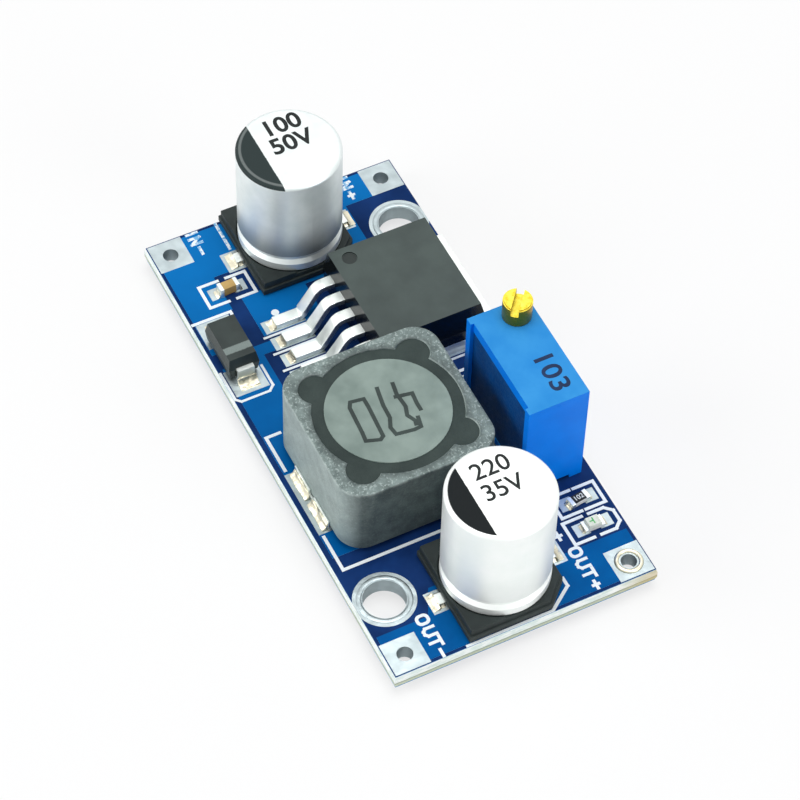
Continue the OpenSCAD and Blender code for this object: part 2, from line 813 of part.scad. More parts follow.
module capacitor_can() {
    rim = seat_z + base_lift + base_plate + 0.02;
    r = can_d / 2;
    top = seat_z + can_top;
    g = rim + groove_up;
    c = can_edge_r;
    curl = can_wall - 0.05;
    // Wall and flat top with a rounded edge, a rounded rim, and a groove pressed round above it
    rotate_extrude()
        difference() {
            union() {
                rect([0, rim + curl], [r, top - c]);
                rect([0, rim], [r - curl, rim + curl]);
                translate([r - curl, rim + curl]) circle(curl);
                rect([0, top - c - tiny], [r - c, top]);
                translate([r - c, top - c]) circle(c);
            }
            rect([-2, rim - 1], [r - can_wall, g - 0.5]);
            rect([-2, rim - 1], [r - can_wall - groove_depth, g + 0.5]);
            rect([-2, g + 0.5 - tiny], [r - can_wall, top - can_wall - 0.15]);
            polygon([[r + 1, g - 0.45], [r, g - 0.45], [r - groove_depth, g - 0.12],
                [r - groove_depth, g + 0.12], [r, g + 0.45], [r + 1, g + 0.45]]);
            rect([-2, rim - 2], [0, top + 2]);
        }
}

module capacitor_base() {
    z0 = seat_z + base_lift;
    difference() {
        union() {
            translate([0, 0, z0]) linear_extrude(0.55) base_outline();
            translate([0, 0, z0]) linear_extrude(base_plate) base_outline(-0.15);
            // Posts at the two corners of the negative side
            translate([0, 0, z0])
                linear_extrude(post_top - base_lift)
                    for (s = [-1, 1])
                        intersection() {
                            base_outline(-0.15);
                            rect([min(0, s * base_w), -base_w],
                                [max(0, s * base_w), -base_w / 2 + 0.15 + post_l]);
                            difference() {
                                base_outline();
                                circle(can_d / 2 + post_gap);
                            }
                        }
        }
        // Channels for the terminals on the underside, and holes for their posts
        translate([-tab_w / 2 - 0.05, -base_w, z0 - 1]) cube([tab_w + 0.1, base_w * 2, 1 + tab_t]);
        for (s = [-1, 1]) translate([0, s * tab_pitch / 2, z0 - 1]) cylinder(d = 0.7, h = 3);
    }
}

module capacitor_bung() {
    rim = seat_z + base_lift + base_plate;
    difference() {
        union() {
            translate([0, 0, rim + 0.02]) cylinder(r = can_d / 2 - can_wall - 0.02, h = groove_up - 0.52);
            translate([0, 0, rim + 0.02])
                cylinder(r = can_d / 2 - can_wall - groove_depth - 0.02, h = groove_up + 0.5);
        }
        for (s = [-1, 1]) translate([0, s * tab_pitch / 2, rim - 1]) cylinder(d = 0.68, h = 5);
    }
}

module capacitor_winding() {
    low = seat_z + base_lift + base_plate + groove_up + 0.6;
    high = seat_z + can_top - can_wall - 0.45;
    translate([0, 0, low])
        difference() {
            cylinder(r = can_d / 2 - can_wall - 0.1, h = high - low);
            translate([0, 0, -1]) cylinder(r = 0.8, h = 20);
        }
}

module capacitor_terminals() {
    high = seat_z + base_lift + base_plate + groove_up + 0.6;
    for (s = [-1, 1])
        scale([1, s, 1]) {
            box([-tab_w / 2, tab_pitch / 2 - 0.4, seat_z], [tab_w / 2, base_w / 2 + tab_out, seat_z + tab_t]);
            translate([0, tab_pitch / 2, seat_z]) cylinder(d = 0.68, h = high - seat_z);
        }
}

module at_input_capacitor() {
    translate([cap_in_x, cap_in_y, 0]) children();
}

module at_output_capacitor() {
    translate([cap_out_x, cap_out_y, 0]) children();
}

module input_can() {
    color("lightgray") at_input_capacitor() capacitor_can();
}

module input_base() {
    color([0.2, 0.22, 0.24]) at_input_capacitor() capacitor_base();
}

module input_bung() {
    color([0.12, 0.12, 0.12]) at_input_capacitor() capacitor_bung();
}

module input_winding() {
    color("wheat") at_input_capacitor() capacitor_winding();
}

module input_terminals() {
    color("silver") at_input_capacitor() capacitor_terminals();
}

module output_can() {
    color("lightgray") at_output_capacitor() capacitor_can();
}

module output_base() {
    color([0.2, 0.22, 0.24]) at_output_capacitor() capacitor_base();
}

module output_bung() {
    color([0.12, 0.12, 0.12]) at_output_capacitor() capacitor_bung();
}

module output_winding() {
    color("wheat") at_output_capacitor() capacitor_winding();
}

module output_terminals() {
    color("silver") at_output_capacitor() capacitor_terminals();
}

// ---------------------------------------------------------------- regulator

// The plate of the heat tab inside and outside the body
module heat_tab_plate() {
    box([reg_x - reg_w / 2 + 0.1, reg_y + 2.6, seat_z],
        [reg_x + reg_w / 2 - 0.1, reg_y + reg_l + heat_tab_out, seat_z + heat_tab_t]);
}

// Part of a ring between two directions, where the lead is bent
module bend(middle, r, from, to) {
    far = 4 * r;
    translate(middle)
        intersection() {
            difference() {
                circle(r + lead_t / 2);
                circle(r - lead_t / 2);
            }
            polygon([[0, 0], far * [cos(from), sin(from)], far * [cos(to), sin(to)]]);
        }
}

// A lead seen from the side, with Z up and Y to the right: a flat shoulder, a slope and a
// flat foot, joined by two bends
module lead_profile(inside) {
    a = lead_slope;
    low_bend = 0.45;
    foot_z = seat_z + lead_t / 2;
    low = [lead_foot - lead_reach, foot_z];
    high = [low[0] + (lead_z - foot_z) / tan(a), lead_z];
    reach_high = lead_bend * tan(a / 2);
    reach_low = low_bend * tan(a / 2);
    down = [-cos(a), -sin(a)];
    side = lead_t / 2 * [-sin(a), cos(a)];
    p = high + reach_high * down;
    q = low - reach_low * down;
    rect([high[0] + reach_high, lead_z - lead_t / 2], [inside, lead_z + lead_t / 2]);
    bend([high[0] + reach_high, lead_z - lead_bend], lead_bend, 90, 90 + a);
    polygon([p + side, p - side, q - side, q + side]);
    bend([low[0] - reach_low, foot_z + low_bend], low_bend, 270, 270 + a);
    rect([-lead_reach, seat_z], [low[0] - reach_low, seat_z + lead_t]);
}

module one_lead(i, inside = 1.3) {
    translate([reg_x + i * lead_pitch - lead_w / 2, reg_y, 0])
        rotate([90, 0, 90]) linear_extrude(lead_w) lead_profile(inside);
}

module regulator_leads() {
    color("silver")
        for (i = [-2, -1, 1, 2]) one_lead(i);
}

// The middle lead is one piece with the heat tab
module regulator_heat_tab() {
    color("silver") {
        heat_tab_plate();
        one_lead(0, 2.8);
        box([reg_x - lead_w / 2, reg_y + 2.6, seat_z + heat_tab_t - 0.5],
            [reg_x + lead_w / 2, reg_y + 2.9, lead_z + lead_t / 2]);
    }
}

module regulator_die() {
    color([0.3, 0.3, 0.35])
        box([reg_x - die_w / 2, reg_y + 3.6, seat_z + heat_tab_t],
            [reg_x + die_w / 2, reg_y + 3.6 + die_w, seat_z + heat_tab_t + die_t]);
}

module regulator_body() {
    color([0.3, 0.34, 0.34])
        difference() {
            translate([reg_x, reg_y + reg_l / 2, seat_z + 0.08])
                moulded_block(reg_w, reg_l, reg_h - 0.08, reg_parting - 0.08, reg_draft, 0.2, 0.2);
            // Room for the heat tab, the leads and the die, which the plastic is moulded round
            box([reg_x - reg_w / 2 + 0.1, reg_y + 2.6, seat_z - 1],
                [reg_x + reg_w / 2 - 0.1, reg_y + reg_l + 1, seat_z + heat_tab_t]);
            box([reg_x - lead_w / 2, reg_y + 2.6, seat_z + heat_tab_t - tiny],
                [reg_x + lead_w / 2, reg_y + 2.9, lead_z + lead_t / 2]);
            box([reg_x - die_w / 2, reg_y + 3.6, seat_z + heat_tab_t - tiny],
                [reg_x + die_w / 2, reg_y + 3.6 + die_w, seat_z + heat_tab_t + die_t]);
            for (i = [-2 : 2]) {
                far = i == 0 ? 2.8 : 1.3;
                translate([reg_x + i * lead_pitch, reg_y, lead_z])
                    box([-lead_w / 2, -1, -lead_t / 2], [lead_w / 2, far, lead_t / 2]);
            }
            // Shallow round mark over the first lead
            translate([reg_x - reg_w / 2 + 1.55, reg_y + 1.5, seat_z + reg_h - 0.1])
                cylinder(r = 0.58, h = 1);
        }
}

// ---------------------------------------------------------------- inductor

module at_inductor() {
    translate([coil_x, coil_y, 0]) children();
}

module inductor_board() {
    color([0.25, 0.25, 0.22])
        at_inductor()
            translate([0, 0, seat_z + clip_t])
                linear_extrude(coil_base_t)
                    round_rect(shield_w - 0.5, shield_w - 0.5, shield_corner - 0.2);
}

module inductor_shield() {
    low = seat_z + clip_t + coil_base_t;
    color([0.45, 0.5, 0.52])
        at_inductor()
            difference() {
                translate([0, 0, low])
                    linear_extrude(seat_z + coil_top - low)
                        difference() {
                            round_rect(shield_w, shield_w, shield_corner);
                            circle(shield_bore / 2);
                        }
                // Rounded recesses at the four corners hold the adhesive
                for (sx = [-1, 1], sy = [-1, 1])
                    translate([sx * lobe_at, sy * lobe_at, seat_z + coil_top - glue_depth])
                        cylinder(r = lobe_r, h = glue_depth + 1);
            }
}

module inductor_drum() {
    low = seat_z + clip_t + coil_base_t;
    top = seat_z + coil_top - 0.05;
    color([0.6, 0.66, 0.64])
        at_inductor() {
            translate([0, 0, low]) cylinder(d = drum_d, h = 1);
            translate([0, 0, low]) cylinder(d = drum_post, h = top - low);
            translate([0, 0, top - drum_disc_t]) cylinder(d = drum_d, h = drum_disc_t);
        }
}

// Wire wound in layers: the outside keeps the ridge of each turn
module inductor_winding() {
    low = seat_z + clip_t + coil_base_t + 1.05;
    high = seat_z + coil_top - 0.05 - drum_disc_t - 0.05;
    turns = floor((high - low) / wire_d);
    r = drum_d / 2 - 0.45;
    color("peru")
        at_inductor()
            rotate_extrude()
                intersection() {
                    union() {
                        rect([drum_post / 2 + 0.05, low], [r - 0.1, low + turns * wire_d]);
                        for (i = [0 : turns - 1])
                            translate([r - wire_d / 2, low + (i + 0.5) * wire_d])
                                circle(d = wire_d, $fn = 24);
                    }
                    rect([0, low - 1], [r + 1, high + 1]);
                }
}

module inductor_adhesive() {
    top = seat_z + coil_top - 0.12;
    low = seat_z + coil_top - glue_depth;
    color([0.25, 0.3, 0.28])
        at_inductor()
            difference() {
                translate([0, 0, low])
                    linear_extrude(top - low)
                        difference() {
                            union() {
                                circle(shield_bore / 2);
                                for (sx = [-1, 1], sy = [-1, 1])
                                    translate([sx * lobe_at, sy * lobe_at]) circle(lobe_r);
                            }
                            circle(drum_d / 2);
                        }
            }
}

// Each terminal is a strip folded round the lower edge of the inductor. Its upright
// part has a notch in the middle.
module inductor_terminals() {
    edge = shield_w / 2;
    w = clip_w / 2;
    color("silver")
        at_inductor()
            for (s = [-1, 1])
                translate([clip_shift, 0, seat_z])
                    scale([1, s, 1])
                        difference() {
                            union() {
                                box([-w, 2.9, 0], [w, edge + clip_t, clip_t]);
                                box([-w, edge + 0.02, 0], [w, edge + clip_t, clip_h]);
                            }
                            box([-0.35, edge - 0.2, 0.45], [0.35, edge + 1, clip_h + 1]);
                        }
}

// ---------------------------------------------------------------- diode

// Room for the leads and the die, which the plastic is moulded round
module diode_room() {
    z = seat_z + diode_mid;
    box([-diode_l, -diode_lead_w / 2, z], [diode_l, diode_lead_w / 2, z + diode_lead_t]);
    box([-0.75, -0.75, z], [0.75, 0.75, z + diode_lead_t]);
}

module at_diode() {
    translate([diode_x, diode_y, 0]) children();
}

module diode_body() {
    color([0.2, 0.2, 0.2])
        at_diode()
            difference() {
                translate([0, 0, seat_z + diode_lead_t + 0.02])
                    moulded_block(diode_l, diode_w, diode_top - diode_lead_t - 0.02, 0.95, 0.2, 0.12, 0.15);
                diode_room();
            }
}

// Strips that leave the body at mid height and fold down and under it
module diode_leads() {
    out = diode_l / 2 + diode_lead_out;
    w = diode_lead_w / 2;
    t = diode_lead_t;
    color("silver")
        at_diode()
            for (s = [-1, 1])
                translate([0, 0, seat_z])
                    scale([s, 1, 1]) {
                        box([0.75, -w, diode_mid], [out, w, diode_mid + t]);
                        box([out - t, -w, 0], [out, w, diode_mid + t]);
                        box([out - 1.35, -w, 0], [out, w, t]);
                    }
}

module diode_die() {
    color([0.3, 0.3, 0.35])
        at_diode()
            translate([0, 0, seat_z + diode_mid]) box([-0.75, -0.75, 0], [0.75, 0.75, diode_lead_t]);
}

// ---------------------------------------------------------------- chip parts

module chip_place(at, turn) {
    translate([at[0], at[1], seat_z]) rotate(turn) children();
}

// Body of a chip part without the room that the end caps take
module chip_core(h, skin = 0.03) {
    body = chip_l - 2 * skin;
    translate([-body / 2, -chip_w / 2 + skin, skin]) cube([body, chip_w - 2 * skin, h - 2 * skin]);
}

// End caps: a thin metal skin on five sides of each end
module chip_ends(h, skin = 0.03) {
    for (s = [-1, 1])
        scale([s, 1, 1])
            difference() {
                box([chip_l / 2 - chip_cap, -chip_w / 2, 0], [chip_l / 2, chip_w / 2, h]);
                box([0, -chip_w / 2 + skin, skin], [chip_l / 2 - skin, chip_w / 2 - skin, h - skin]);
            }
}

module resistor_film() {
    translate([-chip_l / 2 + chip_cap + 0.02, -chip_w / 2 + 0.05, resistor_h - 0.03])
        cube([chip_l - 2 * chip_cap - 0.04, chip_w - 0.1, 0.04]);
}

module ceramic_capacitor() {
    color([0.62, 0.5, 0.36]) chip_place(ceramic_at, ceramic_turn) chip_core(ceramic_h);
}

module ceramic_capacitor_ends() {
    color("silver") chip_place(ceramic_at, ceramic_turn) chip_ends(ceramic_h);
}

module series_resistor() {
    color("whitesmoke") chip_place(series_at, series_turn) chip_core(resistor_h);
}

module series_resistor_film() {
    color([0.13, 0.13, 0.15]) chip_place(series_at, series_turn) resistor_film();
}

module series_resistor_ends() {
    color("silver") chip_place(series_at, series_turn) chip_ends(resistor_h);
}

module divider_resistor() {
    color("whitesmoke") chip_place(divider_at, divider_turn) chip_core(resistor_h);
}

module divider_resistor_film() {
    color([0.13, 0.13, 0.15]) chip_place(divider_at, divider_turn) resistor_film();
}

module divider_resistor_ends() {
    color("silver") chip_place(divider_at, divider_turn) chip_ends(resistor_h);
}

module lamp_carrier() {
    color("ivory")
        chip_place(lamp_at, lamp_turn)
            box([-chip_l / 2 + 0.03, -lamp_w / 2, 0.03], [chip_l / 2 - 0.03, lamp_w / 2, 0.25]);
}

module lamp_lens() {
    color([0.85, 0.95, 0.85])
        chip_place(lamp_at, lamp_turn)
            translate([0, 0, 0.25]) moulded_block(1.1, lamp_w, lamp_h - 0.25, 0.02, 0.06, 0, 0.06);
}

// Gold ends of the lamp: a strip over and under each end of the carrier
module lamp_ends() {
    color("gold")
        chip_place(lamp_at, lamp_turn)
            for (s = [-1, 1])
                scale([s, 1, 1])
                    difference() {
                        box([chip_l / 2 - 0.24, -lamp_w / 2, 0], [chip_l / 2, lamp_w / 2, 0.28]);
                        box([0, -lamp_w, 0.03], [chip_l / 2 - 0.03, lamp_w, 0.25]);
                    }
}

// ---------------------------------------------------------------- trimmer

module trimmer_housing() {
    color([0.1, 0.45, 0.9])
        difference() {
            union() {
                box([trim_x, trim_face, seat_z + trim_foot], [trim_x1, trim_y1, housing_top]);
                // End lips beside the sealing resin, and feet under them
                for (x = [trim_x, trim_x1 - trim_wall])
                    box([x, trim_y0, seat_z], [x + trim_wall, trim_face + 0.1, housing_top]);
                for (x = [trim_x, trim_x1 - 1.2])
                    box([x, trim_y1 - 1, seat_z], [x + 1.2, trim_y1, seat_z + trim_foot + 0.1]);
            }
            // Room for the element, open on the -Y side, and closed later by resin
            box([window_x0, trim_y0 - 1, window_z0], [window_x1, element_y1, window_z0 + element_w + 0.1]);
            // Wheel pocket behind it
            translate([wheel_x, element_y1 - 0.1, wheel_z])
                rotate([-90, 0, 0]) cylinder(r = wheel_r + 0.12, h = wheel_y1 + 0.05 - element_y1 + 0.1);
            // Screw bore with its head recess, and the journal below
            translate([screw_x, screw_y, window_z0]) cylinder(d = shank_d + 2 * run_gap, h = trim_top);
            translate([screw_x, screw_y, seat_z + trim_foot + 0.25]) cylinder(d = 0.9 + 2 * run_gap, h = 2);
            // Slots for the pins
            for (i = [-1 : 1])
                translate([pin_x + i * pin_pitch, pin_y, seat_z])
                    cylinder(d = pin_d + 0.1, h = pin_top - seat_z);
        }
    // Pivot of the wheel, part of the housing
    color([0.1, 0.45, 0.9])
        translate([wheel_x, wheel_y0 - 0.1, wheel_z])
            rotate([-90, 0, 0]) cylinder(r = pivot_r, h = trim_y1 - 0.2 - wheel_y0);
}

// Resin poured over the element, which closes the -Y side
module trimmer_seal() {
    color([0.08, 0.2, 0.45])
        difference() {
            box([window_x0, trim_face + 0.05, window_z0],
                [window_x1, element_y0, window_z0 + element_w + 0.1]);
            for (i = [-1 : 1])
                translate([pin_x + i * pin_pitch, pin_y, seat_z]) cylinder(d = pin_d, h = pin_top - seat_z);
        }
}

module trimmer_element() {
    color("white")
        box([pin_x - element_w / 2, element_y0, window_z0],
            [pin_x + element_w / 2, element_y1, window_z0 + element_w]);
}

module trimmer_pins() {
    color("silver")
        for (i = [-1 : 1])
            translate([pin_x + i * pin_pitch, pin_y, 0.1]) cylinder(d = pin_d, h = pin_top - 0.1);
}

// Adjusting screw: slotted head, shank with the O-ring groove, worm and lower journal
module trimmer_screw() {
    head_z = housing_top + 0.04;
    low = seat_z + trim_foot + 0.3;
    color("gold")
        translate([screw_x, screw_y, 0])
            difference() {
                union() {
                    translate([0, 0, head_z]) cylinder(d = screw_head_d, h = screw_head_h - 0.1);
                    translate([0, 0, head_z]) cylinder(d = screw_head_d - 0.2, h = screw_head_h);
                    translate([0, 0, o_ring_z + o_ring_h])
                        cylinder(d = shank_d, h = head_z + 0.1 - o_ring_z - o_ring_h);
                    translate([0, 0, o_ring_z - 0.1]) cylinder(d = o_ring_core, h = o_ring_h + 0.2);
                    translate([0, 0, o_ring_z - 0.45]) cylinder(d = shank_d, h = 0.45);
                    translate([0, 0, window_z0 + 0.02]) cylinder(d = worm_d, h = o_ring_z - 0.4 - window_z0);
                    translate([0, 0, low]) cylinder(d = 0.9, h = 1);
                }
                rotate(slot_angle)
                    translate([-2, -slot_w / 2, head_z + screw_head_h - slot_depth]) cube([4, slot_w, 2]);
            }
}

module trimmer_o_ring() {
    color([0.15, 0.15, 0.15])
        translate([screw_x, screw_y, o_ring_z])
            difference() {
                cylinder(d = shank_d, h = o_ring_h);
                translate([0, 0, -1]) cylinder(d = o_ring_core, h = 3);
            }
}

// Toothed wheel that the worm drives
module trimmer_wheel() {
    color("ivory")
        translate([wheel_x, wheel_y1, wheel_z])
            rotate([90, 0, 0])
                linear_extrude(wheel_t)
                    difference() {
                        wheel_outline();
                        circle(pivot_r + run_gap);
                    }
}

module wheel_outline() {
    pitch = 360 / wheel_teeth;
    root = wheel_r - tooth_depth;
    polygon([
        for (i = [0 : wheel_teeth - 1], p = [[-0.3, 0], [-0.14, 1], [0.14, 1], [0.3, 0]])
            let (r = root + p[1] * tooth_depth, a = (i + p[0]) * pitch) [r * cos(a), r * sin(a)]]);
}

// Springy contact that the wheel carries round the element
module trimmer_wiper() {
    color("gold")
        translate([wheel_x, 0, wheel_z]) {
            // Flat spring on the wheel face
            translate([0, wheel_y0, 0])
                rotate([90, 0, 0])
                    linear_extrude(0.12)
                        difference() {
                            union() {
                                circle(1.6);
                                rect([-0.45, 0], [0.45, 2.75]);
                            }
                            circle(pivot_r + 0.1);
                        }
            // Contact at its end, close to the track
            box([-0.45, element_y1 + 0.03, 2.4], [0.45, wheel_y0 - 0.02, 2.75]);
        }
}

// ---------------------------------------------------------------- solder

module solder_capacitors() {
    color("gainsboro")
        for (place = [[cap_in_x, cap_in_y], [cap_out_x, cap_out_y]], s = [-1, 1])
            translate([place[0], place[1], seat_z])
                scale([1, s, 1])
                    translate([0, base_w / 2 + tab_out, 0]) rotate(90) {
                        fillet_wedge(0.7, 0.34, 1.5);
                        translate([-0.5, 0, 0])
                            for (k = [-1, 1]) scale([1, k, 1])
                                translate([0.25, tab_w / 2, 0]) rotate(90) fillet_wedge(0.35, 0.28, 0.5);
                    }
}

module solder_regulator() {
    color("gainsboro") {
        for (i = [-2 : 2])
            translate([reg_x + i * lead_pitch, reg_y - lead_reach, seat_z])
                rotate(-90) fillet_wedge(0.6, 0.4, 1);
        translate([reg_x, reg_y + reg_l + heat_tab_out, seat_z])
            rotate(90) fillet_wedge(0.28, 0.8, reg_w - 1);
    }
}

// Thick solder in two lobes in front of each terminal
module solder_inductor() {
    color("wheat")
        translate([coil_x, coil_y, seat_z])
            for (s = [-1, 1], k = [-1, 1])
                translate([clip_shift + k * (clip_w / 4 + 0.05), s * (shield_w / 2 + clip_t), 0])
                    rotate(s * 90) fillet_wedge(0.72, 0.85, clip_w / 2 - 0.15);
}

module solder_diode() {
    color("gainsboro")
        translate([diode_x, diode_y, seat_z])
            for (s = [-1, 1])
                translate([s * (diode_l / 2 + diode_lead_out), 0, 0])
                    scale([s, 1, 1]) fillet_wedge(0.9, 0.75, 1.6);
}

module solder_chips() {
    color("gainsboro") {
        chip_solder(ceramic_at, ceramic_turn, 0.5);
        chip_solder(series_at, series_turn, 0.32);
        chip_solder(divider_at, divider_turn, 0.32);
        chip_solder(lamp_at, lamp_turn, 0.22);
    }
}

module chip_solder(at, turn, rise) {
    chip_place(at, turn)
        for (s = [-1, 1]) scale([s, 1, 1]) translate([chip_l / 2, 0, 0]) fillet_wedge(0.4, rise, chip_w);
}

// Each pin has a cone of solder under the board that also fills its hole
module solder_trimmer() {
    color("gainsboro")
        for (i = [-1 : 1])
            translate([pin_x + i * pin_pitch, pin_y, 0])
                rotate_extrude()
                    polygon([
                        [pin_d / 2, 0.1], [0, 0.1], [0, 0], [pin_d / 2, 0], [pin_d / 2 + 0.14, 0.14],
                        [pin_d / 2 + 0.3, pin_tail * 0.6], [pin_pad_r - 0.1, pin_tail],
                        [pin_d / 2 + 0.2, pin_tail], [pin_d / 2 + 0.2, seat_z], [pin_d / 2, seat_z]]);
}

// ---------------------------------------------------------------- nodes

laminate();
copper_top();
copper_bottom();
mask_top();
mask_bottom();
tinned_pads();
mounting_hole_plating();
wire_hole_plating();
pin_hole_plating();
legend();
input_can();
input_base();
input_bung();
input_winding();
input_terminals();
output_can();
output_base();
output_bung();
output_winding();
output_terminals();
regulator_body();
regulator_heat_tab();
regulator_leads();
regulator_die();
inductor_shield();
inductor_drum();
inductor_winding();
inductor_adhesive();
inductor_board();
inductor_terminals();
diode_body();
diode_leads();
diode_die();
ceramic_capacitor();
ceramic_capacitor_ends();
series_resistor();
series_resistor_film();
series_resistor_ends();
divider_resistor();
divider_resistor_film();
divider_resistor_ends();
lamp_carrier();
lamp_lens();
lamp_ends();
trimmer_housing();
trimmer_seal();
trimmer_element();
trimmer_pins();
trimmer_screw();
trimmer_o_ring();
trimmer_wheel();
trimmer_wiper();
solder_capacitors();
solder_regulator();
solder_inductor();
solder_diode();
solder_chips();
solder_trimmer();
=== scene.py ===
"""Looks of an adjustable step-down converter module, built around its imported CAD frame."""
import math

import bpy
from mathutils import Matrix, Vector


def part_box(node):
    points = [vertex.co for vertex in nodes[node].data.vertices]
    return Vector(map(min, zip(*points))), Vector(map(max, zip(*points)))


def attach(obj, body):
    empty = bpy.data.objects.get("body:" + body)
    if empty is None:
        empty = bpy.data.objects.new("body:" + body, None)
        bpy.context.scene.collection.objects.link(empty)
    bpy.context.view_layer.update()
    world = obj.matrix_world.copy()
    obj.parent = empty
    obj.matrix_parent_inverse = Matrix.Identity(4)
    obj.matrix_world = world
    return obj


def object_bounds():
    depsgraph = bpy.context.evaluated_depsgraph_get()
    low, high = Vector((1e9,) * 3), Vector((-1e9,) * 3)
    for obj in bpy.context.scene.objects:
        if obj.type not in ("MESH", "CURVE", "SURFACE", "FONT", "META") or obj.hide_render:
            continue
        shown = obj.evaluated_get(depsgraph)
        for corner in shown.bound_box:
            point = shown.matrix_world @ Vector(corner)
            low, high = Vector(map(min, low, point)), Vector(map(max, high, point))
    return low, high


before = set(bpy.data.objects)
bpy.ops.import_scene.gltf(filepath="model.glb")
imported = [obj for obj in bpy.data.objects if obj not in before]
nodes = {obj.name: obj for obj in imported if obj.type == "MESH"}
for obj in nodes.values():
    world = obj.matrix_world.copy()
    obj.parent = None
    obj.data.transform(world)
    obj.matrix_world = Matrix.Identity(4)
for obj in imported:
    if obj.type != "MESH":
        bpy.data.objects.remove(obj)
cad_lo, cad_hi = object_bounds()

MM = 0.001
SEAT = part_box("mask_top")[1].z            # upper face of the board over copper
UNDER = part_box("mask_bottom")[0].z


# ------------------------------------------------------------------ node helpers

class Shader:
    """A material's node tree, with short calls for the nodes used here."""

    def __init__(self, name):
        self.material = bpy.data.materials.new(name)
        self.material.use_nodes = True
        self.tree = self.material.node_tree
        self.tree.nodes.clear()
        self.output = self.add("ShaderNodeOutputMaterial")
        self.coords = self.add("ShaderNodeTexCoord").outputs["Object"]

    def add(self, kind, **settings):
        """A new node with these properties."""
        node = self.tree.nodes.new(kind)
        for key, value in settings.items():
            setattr(node, key, value)
        return node

    def link(self, value, socket):
        """Links an output to a socket, or sets the socket to a plain value."""
        if isinstance(value, bpy.types.NodeSocket):
            self.tree.links.new(value, socket)
        elif isinstance(value, (tuple, list)) and len(value) == 3 and socket.type == "RGBA":
            socket.default_value = (*value, 1.0)
        else:
            socket.default_value = value

    def scaled(self, sx, sy=None, sz=None):
        """Object coordinates, multiplied along each axis (metres in, texture units out)."""
        node = self.add("ShaderNodeMapping")
        self.link(self.coords, node.inputs["Vector"])
        node.inputs["Scale"].default_value = (sx, sy or sx, sz or sx)
        return node.outputs["Vector"]

    def noise(self, per_mm, detail=3.0, rough=0.55, vector=None):
        """Noise with about that many features in a millimetre."""
        node = self.add("ShaderNodeTexNoise")
        self.link(vector or self.scaled(per_mm * 1000), node.inputs["Vector"])
        node.inputs["Scale"].default_value = 1.0
        node.inputs["Detail"].default_value = detail
        node.inputs["Roughness"].default_value = rough
        return node.outputs["Fac"]

    def ramp(self, value, low, high, a=0.0, b=1.0, smooth=False):
        """Maps low..high to a..b, and holds the end values outside."""
        node = self.add("ShaderNodeMapRange", clamp=True)
        if smooth:
            node.interpolation_type = "SMOOTHSTEP"
        self.link(value, node.inputs["Value"])
        for name, number in (("From Min", low), ("From Max", high), ("To Min", a), ("To Max", b)):
            node.inputs[name].default_value = number
        return node.outputs["Result"]

    def math(self, operation, a, b=0.0):
        """One arithmetic node."""
        node = self.add("ShaderNodeMath", operation=operation)
        self.link(a, node.inputs[0])
        self.link(b, node.inputs[1])
        return node.outputs[0]

    def mix(self, factor, a, b):
        """Colour a where factor is 0, colour b where it is 1."""
        node = self.add("ShaderNodeMix", data_type="RGBA")
        self.link(factor, node.inputs[0])
        self.link(a, node.inputs[6])
        self.link(b, node.inputs[7])
        return node.outputs[2]

    def axis(self, index):
        """One object coordinate, in metres."""
        node = self.add("ShaderNodeSeparateXYZ")
        self.link(self.coords, node.inputs[0])
        return node.outputs[index]

    def facing(self, index):
        """One component of the surface normal in the object's own frame."""
        node = self.add("ShaderNodeSeparateXYZ")
        source = self.add("ShaderNodeTexCoord").outputs["Normal"]
        self.link(source, node.inputs[0])
        return node.outputs[index]

    def product(self, *factors):
        """All the factors multiplied together."""
        result = factors[0]
        for factor in factors[1:]:
            result = self.math("MULTIPLY", result, factor)
        return result

    def length(self, dx, dy):
        """How long the flat vector (dx, dy) is."""
        squares = self.math("ADD", self.math("MULTIPLY", dx, dx), self.math("MULTIPLY", dy, dy))
        return self.math("SQRT", squares)

    def uneven(self, value, per_mm, detail, depth_mm):
        """The value with noise of that depth added, so that a border drawn by it wavers."""
        wave = self.math("MULTIPLY", self.noise(per_mm, detail), depth_mm * MM)
        return self.math("ADD", value, wave)

    def bump(self, height, depth_mm, strength=1.0, after=None):
        """A normal from a height of 0 to 1, on top of an earlier bump."""
        node = self.add("ShaderNodeBump")
        self.link(height, node.inputs["Height"])
        node.inputs["Distance"].default_value = depth_mm * MM
        node.inputs["Strength"].default_value = strength
        if after is not None:
            self.link(after, node.inputs["Normal"])
        return node.outputs["Normal"]

    def finish(self, color, rough, metal=0.0, normal=None, **more):
        """Joins everything in one Principled surface; more sets its other sockets."""
        bsdf = self.add("ShaderNodeBsdfPrincipled")
        self.link(color, bsdf.inputs["Base Color"])
        self.link(rough, bsdf.inputs["Roughness"])
        self.link(metal, bsdf.inputs["Metallic"])
        if normal is not None:
            self.link(normal, bsdf.inputs["Normal"])
        for key, value in more.items():
            self.link(value, bsdf.inputs[key.replace("_", " ")])
        self.tree.links.new(bsdf.outputs[0], self.output.inputs["Surface"])
        return self.material


def srgb(r, g, b):
    """A colour given as 0..255 screen values."""
    def line(v):
        v /= 255
        return v / 12.92 if v <= 0.04045 else ((v + 0.055) / 1.055) ** 2.4
    return (line(r), line(g), line(b))


# ------------------------------------------------------------------ materials

